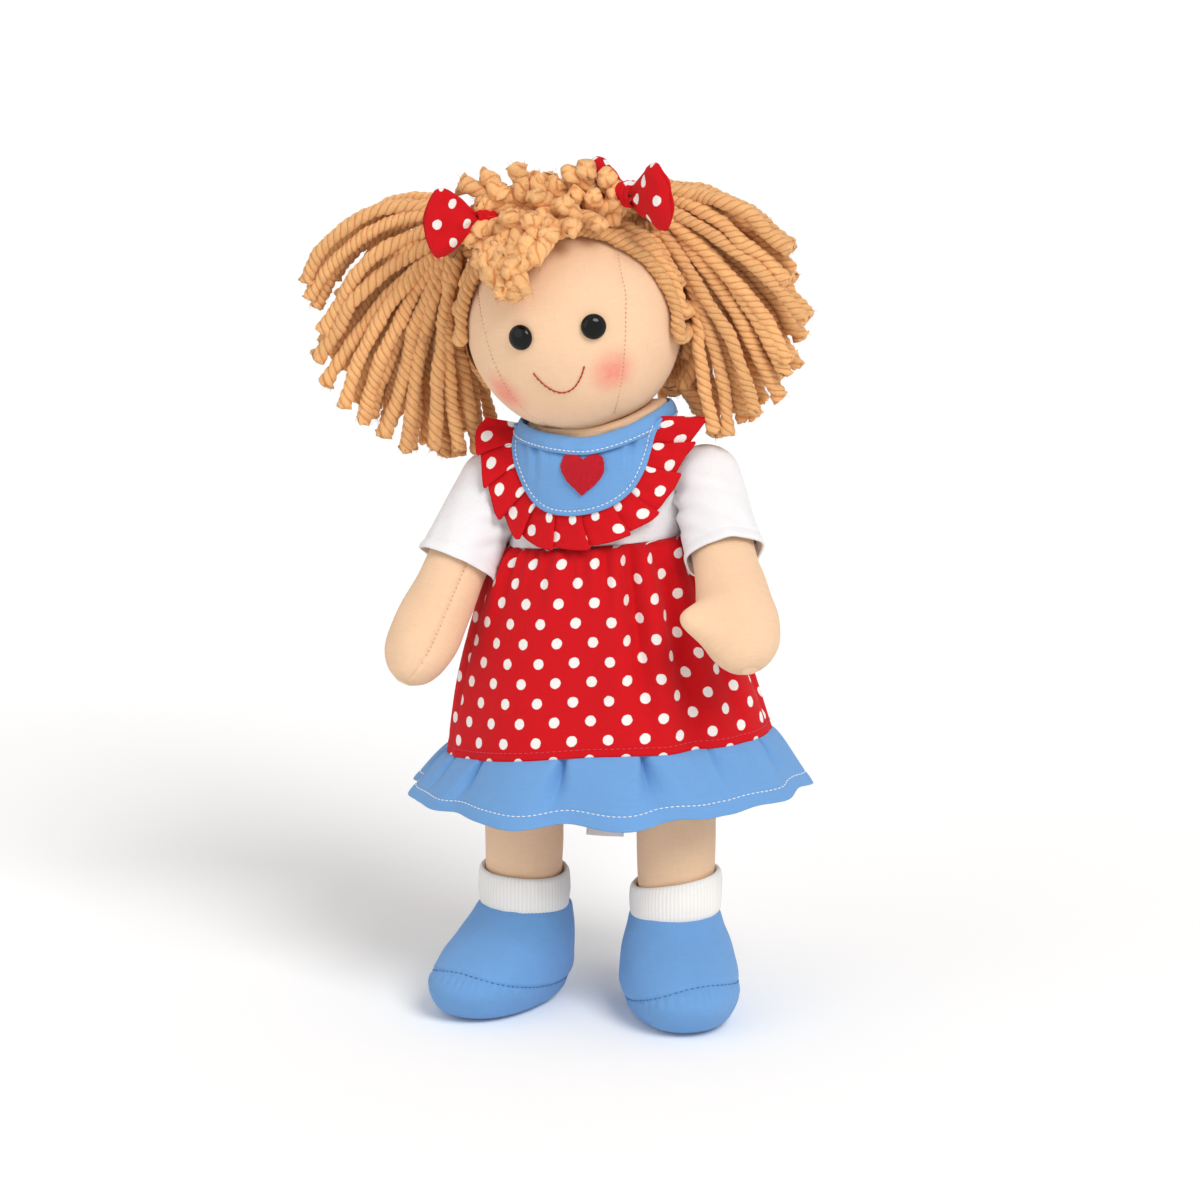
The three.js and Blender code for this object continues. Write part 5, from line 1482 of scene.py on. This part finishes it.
TUFTS = [
    ((-20, -14, 59), (-31, -14, 63)), ((-14, -14, 58), (-22, -14, 65)), ((-9, -14, 58), (-9, -14, 67)),
    ((-4, -14, 55), (0, -14, 61)), ((11, -9, 46), (12, -14, 60)), ((15, -8, 45), (18, -14, 61)),
    ((21, -4, 43), (25, -14, 58)), ((28, -14, 47), (32, 1, 43)), ((-12, -14, 55), (-27, -14, 54)),
    ((-8, -14, 50), (-24, -5, 47)), ((-13, -3, 46), (-16, -24, 45)), ((-8, 1, 47), (-4, -26, 46)),
    ((-1, -8, 47), (2, -29, 44)), ((0, -14, 54), (13, -25, 45)), ((-11, -20, 42), (-20, -29, 39)),
    ((-8, -22, 42), (-16, -37, 34)), ((-5, -25, 40), (-6, -36, 38)), ((-2, -24, 41), (-9, -41, 33)),
    ((-15, -25, 38), (-21, -38, 30)), ((-15, -26, 37), (-17, -44, 24)), ((-12, -28, 37), (-9, -46, 25)),
    ((5, -25, 40), (-4, -40, 34)), ((8, -8, 47), (6, -14, 57)), ((-16, -14, 52), (-22, -14, 58)),
    ((3, -14, 55), (6, 0, 53)), ((-20, -6, 44), (-28, 2, 50)), ((-10, 4, 48), (-16, 10, 55)),
    ((0, 6, 48), (-3, 12, 57)), ((9, 4, 48), (11, 12, 56)), ((18, 2, 45), (22, 10, 52)),
    ((-14, -18, 44), (-28, -20, 44)), ((12, -18, 44), (22, -26, 41)), ((5, -16, 46), (15, -18, 53)),
    ((-3, -4, 49), (-7, -4, 60)), ((-18, -12, 46), (-29, -9, 52)), ((18, -12, 43), (29, -14, 47)),
    ((-18, -22, 38), (-27, -31, 37)), ((-20, -18, 41), (-32, -20, 42)), ((-6, -18, 46), (-14, -27, 50)),
    ((4, -12, 48), (-3, -22, 55)), ((-10, -10, 48), (-17, -16, 58)), ((8, -16, 45), (9, -25, 52)),
    ((16, -12, 44), (20, -21, 52)), ((23, -8, 43), (28, -16, 51)), ((-4, -28, 38), (-13, -43, 31)),
    ((-1, -26, 39), (4, -34, 42)), ((5, -23, 41), (12, -31, 43)), ((-22, -12, 42), (-33, -10, 46)),
    ((-13, -24, 39), (-24, -34, 33)), ((-9, -27, 37), (-13, -45, 22)), ((1, -18, 45), (-5, -31, 47)),
]


def fringe_piece(settings):
    """Short thick tufts on top of the crown: each leaves its root upwards and bends over to its cut tip."""
    radius = settings.strand_radius / MM * 1.2
    surface = Surface()
    for k, (root, tip) in enumerate(TUFTS):
        root, tip = np.array(root, float), np.array(tip, float)
        low = root * min(1.0, 47.0 / np.linalg.norm(root))
        out = unit(low)
        length = np.linalg.norm(tip - low)
        path = arc(low, low + out * length * 0.45, tip - unit(tip - root) * length * 0.35, tip, 50)
        made = strand(surface, in_head(path), radius, 300 + k, (k * 0.618) % 1, 0.95, True, 0.7)
        fuzz(surface, *made, 500 + k, 40)
    surface.piece("fringe_yarn", "yarn", "head", "yarn", ["fringe"])


BOWS = {
    "right": {"knot": (-24.5, -15.0, 48.3), "turn": 34.0, "tilt": 11.0},
    "left": {"knot": (33.0, -15.0, 49.5), "turn": -44.0, "tilt": 4.0},
}


def bow_frame(name):
    """A bow's own frame: x along its lobes and z up its height, turned and then tilted."""
    return turn("Z", BOWS[name]["turn"]) @ turn("Y", BOWS[name]["tilt"])


def bows_piece(settings):
    """Each lobe is a flat tube of cloth that widens from the knot and is closed at its far end. Folds run
    out from the knot and fade, the two cloths bulge apart in the middle, and the far edge is rounded."""
    length, height = 25.0, 27.0
    along = np.linspace(0, 1, 60)[:, None]
    angle = round_angles(128)
    for name, side in SIDES.items():
        surface = Surface()
        for lobe in (1, -1):
            up = np.sign(np.sin(angle)) * np.abs(np.sin(angle)) ** 0.9
            tall = 2.6 + (height / 2 - 2.6) * np.sin(np.clip(along * 1.15, 0, 1) * math.pi / 2) ** 1.1
            tall = tall * (1 - 0.08 * np.clip((along - 0.85) / 0.15, 0, 1) ** 2)
            thick = 2.4 + 1.9 * np.sin(math.pi * np.clip(along, 0, 1)) ** 0.8
            thick = thick * np.sqrt(np.clip((1.01 - along) / 0.14, 0.02, 1))
            folds = 1.5 * np.cos(up * 8 + lobe) * np.exp(-along / 0.5) + 0.5 * np.cos(up * 4.5 + side) * along
            x = 3.0 + (length - 3.0) * along - 4.2 * along**1.5 * np.abs(up) ** 2.2
            y = thick * np.cos(angle) + folds * np.sign(np.cos(angle)) * 0.6
            z = tall * up + 0.6 * along * lobe
            points = np.stack([lobe * (x + 0 * z), y, z], -1)
            points = points + 0.8 * waves(points, 10, 200 + lobe + side)[..., None] * [0.3, 1, 0.5]
            points = in_head(points @ bow_frame(name).T + BOWS[name]["knot"])
            u = along * length * 1.05 + 0 * angle
            v = DOT_CELL[1] * 2 + 3 + tall * up * 1.05 + (np.cos(angle) < 0) * 5.0
            surface.closed(points, u=np.column_stack([u, u[:, :1]]), v=np.column_stack([v, v[:, :1]]))
        piece = surface.piece(f"bow_cloth_{name}", "red", "head", "red_spotted_cotton", [f"bow_{name}"])


def knots_piece(settings):
    """The knot is a strip wound once round the bow's waist: a closed profile turned about the lobes' line,
    with two soft pleats round it."""
    rim = round_angles(40).T
    angle = round_angles(64)
    for name, side in SIDES.items():
        half, thick = 3.9, 0.75
        x = half * np.cos(rim) * (1 + 0.12 * np.sin(angle))
        outer = 4.2 + thick * np.sin(rim) + 0.35 * np.cos(2.2 * x) * (np.sin(rim) > 0)
        squash = 1 + 0.2 * np.cos(angle) ** 2
        points = np.stack([x, outer * np.cos(angle) * 0.95, outer * np.sin(angle) * squash], -1)
        points = points + 0.3 * waves(points, 6, 230 + side)[..., None] * unit(points * [0, 1, 1])
        points = in_head(points @ bow_frame(name).T + BOWS[name]["knot"])
        surface = Surface().ring(points, u=np.arange(65) * 0.42, v=np.arange(41) * 0.45 + 20)
        piece = surface.piece(f"knot_cloth_{name}", "red", "head", "red_spotted_cotton", [f"knot_{name}"])


def ties_piece(settings):
    """An elastic ring round each bunch's root: a ribbed band whose profile is a rounded strip."""
    rim = round_angles(24).T
    angle = round_angles(120)
    for name in SIDES:
        towards, across, over = tie_frame(name)
        reach = 11.6 + 0.9 * np.cos(rim) + 0.18 * np.cos(30 * angle) * (np.cos(rim) > 0)
        height = np.linalg.norm(TIE_PLACE[name]) - 2.3 + 1.9 * np.sin(rim)
        points = (reach * np.cos(angle))[..., None] * across + (reach * np.sin(angle))[..., None] * over \
            + (height + 0 * angle)[..., None] * towards
        surface = Surface().ring(in_head(points), u=0.61, v=0.4)
        surface.piece(f"tie_band_{name}", "elastic", "head", "elastic", [f"tie_{name}"])


def washers_finish(settings):
    """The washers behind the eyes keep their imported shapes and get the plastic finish."""
    for name in SIDES:
        node = frame["nodes"][f"washer_{name}"]
        node.data.materials.clear()
        node.data.materials.append(FINISHES["washer"])


# Stage

ROOM_WHITE = (1, 1, 1, 1)
LAMPS = {"key": ((0.75, -0.8, 1.05), 28), "fill": ((-0.9, -1.0, 0.6), 50)}
CAMERA_AZIMUTH, CAMERA_ELEVATION, CAMERA_DISTANCE = math.radians(12), math.radians(15), 2.6


def aim(thing, way, track):
    """Turns an object so that one of its axes points along a way, with Y for its up."""
    thing.rotation_mode = "QUATERNION"
    thing.rotation_quaternion = way.to_track_quat(track, "Y")


def floor_piece():
    """A square of white paper that glows a little, so that it looks white where no shadow falls."""
    mesh = bpy.data.meshes.new("floor")
    mesh.from_pydata([(-6, -6, 0), (6, -6, 0), (6, 6, 0), (-6, 6, 0)], [], [(0, 1, 2, 3)])
    paper = bpy.data.materials.new("white floor")
    paper.use_nodes = True
    for name, value in (("Base Color", ROOM_WHITE), ("Roughness", 1.0), ("Specular IOR Level", 0.0),
                        ("Emission Color", ROOM_WHITE), ("Emission Strength", 0.03)):
        paper.node_tree.nodes["Principled BSDF"].inputs[name].default_value = value
    mesh.materials.append(paper)
    add_object("floor", mesh)


def room(strength):
    """White surroundings: pure white where the camera sees them, also in a reflection or through a clear
    thing, and a little warm and weaker where they light the doll."""
    world = bpy.data.worlds.new("white room")
    bpy.context.scene.world = world
    world.use_nodes = True
    tree = world.node_tree
    seen, light = tree.nodes["Background"], tree.nodes.new("ShaderNodeBackground")
    seen.inputs["Color"].default_value = ROOM_WHITE
    light.inputs["Color"].default_value = (1, 0.995, 0.985, 1)
    light.inputs["Strength"].default_value = strength
    rays, choose = tree.nodes.new("ShaderNodeLightPath"), tree.nodes.new("ShaderNodeMixShader")
    either, any_of_three = tree.nodes.new("ShaderNodeMath"), tree.nodes.new("ShaderNodeMath")
    either.operation = any_of_three.operation = "MAXIMUM"
    for source, target in ((rays.outputs["Is Camera Ray"], either.inputs[0]),
                           (rays.outputs["Is Glossy Ray"], either.inputs[1]),
                           (either.outputs[0], any_of_three.inputs[0]),
                           (rays.outputs["Is Transmission Ray"], any_of_three.inputs[1]),
                           (any_of_three.outputs[0], choose.inputs[0]),
                           (light.outputs[0], choose.inputs[1]),
                           (seen.outputs[0], choose.inputs[2]),
                           (choose.outputs[0], tree.nodes["World Output"].inputs["Surface"])):
        tree.links.new(source, target)


def stage_piece(settings):
    """The floor, the white room, two soft lamps and the camera, turned towards the doll."""
    floor_piece()
    room(settings.room_light)
    for name, strength in (("key", settings.key_light), ("fill", settings.fill_light)):
        way, wide = LAMPS[name]
        lamp = bpy.data.lights.new(name, "SUN")
        lamp.energy, lamp.angle = strength, math.radians(wide)
        aim(add_object(name, lamp), Vector(way), "Z")
    camera = bpy.data.cameras.new("camera")
    camera.sensor_width, camera.lens = 36, 200
    camera.clip_start, camera.clip_end = 0.05, 50
    level = math.cos(CAMERA_ELEVATION)
    back = Vector((math.sin(CAMERA_AZIMUTH) * level, -math.cos(CAMERA_AZIMUTH) * level,
                      math.sin(CAMERA_ELEVATION)))
    thing = add_object("camera", camera)
    thing.location = Vector((BODY_X * MM, 0, 0.1643)) + back * CAMERA_DISTANCE
    aim(thing, -back, "-Z")
    bpy.context.scene.camera = thing
    bpy.context.scene.view_settings.view_transform = "Standard"


# Settings, operators and panel

class DollSettings(bpy.types.PropertyGroup):
    """Colours, sizes and light levels that a user may change before the pieces are made."""

    flesh: bpy.props.FloatVectorProperty(
        name="Flesh", description="Colour of the doll's cotton skin", subtype="COLOR", min=0, max=1,
        default=linear("#F2CBA6")[:3])
    red: bpy.props.FloatVectorProperty(
        name="Spotted cloth", description="Ground colour of the spotted cotton", subtype="COLOR",
        min=0, max=1, default=linear("#CE0513")[:3])
    blue: bpy.props.FloatVectorProperty(
        name="Blue cloth", description="Colour of the bib, the frill and the feet", subtype="COLOR",
        min=0, max=1, default=linear("#6FA2D9")[:3])
    yarn: bpy.props.FloatVectorProperty(
        name="Yarn", description="Colour of the hair's yarn", subtype="COLOR", min=0, max=1,
        default=linear("#F9BE80")[:3])
    strand_radius: bpy.props.FloatProperty(
        name="Yarn radius", description="Half the thickness of a strand of hair", default=2.8 * MM,
        unit="LENGTH")
    room_light: bpy.props.FloatProperty(
        name="Room light", description="Strength of the even light from all round", default=0.58)
    key_light: bpy.props.FloatProperty(
        name="Key light", description="Strength of the lamp at the front right", default=1.72)
    fill_light: bpy.props.FloatProperty(
        name="Fill light", description="Strength of the lamp at the front left", default=0.35)


class DollOperator:
    """What the operators share: each runs its own makers with the scene's settings."""

    bl_options = {"REGISTER", "UNDO"}
    makers = ()

    def execute(self, context):
        if not FINISHES:
            make_finishes(context.scene.rag_doll)
        for maker in self.makers:
            maker(context.scene.rag_doll)
        return {"FINISHED"}


class DOLL_OT_head(DollOperator, bpy.types.Operator):
    """Make the head with its face, and the neck"""
    bl_idname = "doll.head"
    bl_label = "Head, face and neck"
    makers = (head_piece, eyes_piece, smile_piece, washers_finish, neck_piece)


class DOLL_OT_torso(DollOperator, bpy.types.Operator):
    """Make the torso and the seat with its blank tab"""
    bl_idname = "doll.torso"
    bl_label = "Torso and seat"
    makers = (torso_piece, seat_piece)


class DOLL_OT_shirt(DollOperator, bpy.types.Operator):
    """Make the knitted shirt, its sleeves and its back closure"""
    bl_idname = "doll.shirt"
    bl_label = "Shirt"
    makers = (shirt_piece, sleeves_piece, closure_piece)


class DOLL_OT_bib(DollOperator, bpy.types.Operator):
    """Make the bib, the neckband, the heart and the ruffle"""
    bl_idname = "doll.bib"
    bl_label = "Bib"
    makers = (bib_piece, neckband_piece, heart_piece, ruffle_piece)


class DOLL_OT_skirt(DollOperator, bpy.types.Operator):
    """Make the skirt and its frill"""
    bl_idname = "doll.skirt"
    bl_label = "Skirt"
    makers = (skirt_piece, frill_piece)


class DOLL_OT_limbs(DollOperator, bpy.types.Operator):
    """Make the arms and legs"""
    bl_idname = "doll.limbs"
    bl_label = "Arms and legs"
    makers = (arms_piece, legs_piece)


class DOLL_OT_feet(DollOperator, bpy.types.Operator):
    """Make the socks and the shoes"""
    bl_idname = "doll.feet"
    bl_label = "Socks and shoes"
    makers = (socks_piece, shoes_piece)


class DOLL_OT_hair(DollOperator, bpy.types.Operator):
    """Make the crown, the bunches and the fringe of yarn"""
    bl_idname = "doll.hair"
    bl_label = "Hair"
    makers = (crown_piece, bunches_piece, fringe_piece)


class DOLL_OT_bows(DollOperator, bpy.types.Operator):
    """Make the bows, their knots and the elastic ties"""
    bl_idname = "doll.bows"
    bl_label = "Bows"
    makers = (bows_piece, knots_piece, ties_piece)


class DOLL_OT_stage(DollOperator, bpy.types.Operator):
    """Make the floor, the lamps and the camera"""
    bl_idname = "doll.stage"
    bl_label = "Stage"
    makers = (stage_piece,)


OPERATORS = (DOLL_OT_head, DOLL_OT_torso, DOLL_OT_shirt, DOLL_OT_bib, DOLL_OT_skirt, DOLL_OT_limbs,
             DOLL_OT_feet, DOLL_OT_hair, DOLL_OT_bows, DOLL_OT_stage)


class DOLL_PT_panel(bpy.types.Panel):
    """Lists the makers and the settings in the sidebar"""
    bl_label = "Rag doll"
    bl_idname = "DOLL_PT_panel"
    bl_space_type = "VIEW_3D"
    bl_region_type = "UI"
    bl_category = "Rag doll"

    def draw(self, context):
        for key in DollSettings.__annotations__:
            self.layout.prop(context.scene.rag_doll, key)
        for operator in OPERATORS:
            self.layout.operator(operator.bl_idname)


CLASSES = (DollSettings, *OPERATORS, DOLL_PT_panel)


def register():
    for each in CLASSES:
        bpy.utils.register_class(each)
    bpy.types.Scene.rag_doll = bpy.props.PointerProperty(type=DollSettings)


def unregister():
    del bpy.types.Scene.rag_doll
    for each in reversed(CLASSES):
        bpy.utils.unregister_class(each)


def main():
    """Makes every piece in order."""
    register()
    for operator in OPERATORS:
        group, name = operator.bl_idname.split(".")
        getattr(getattr(bpy.ops, group), name)()


if __name__ == "__main__":
    main()
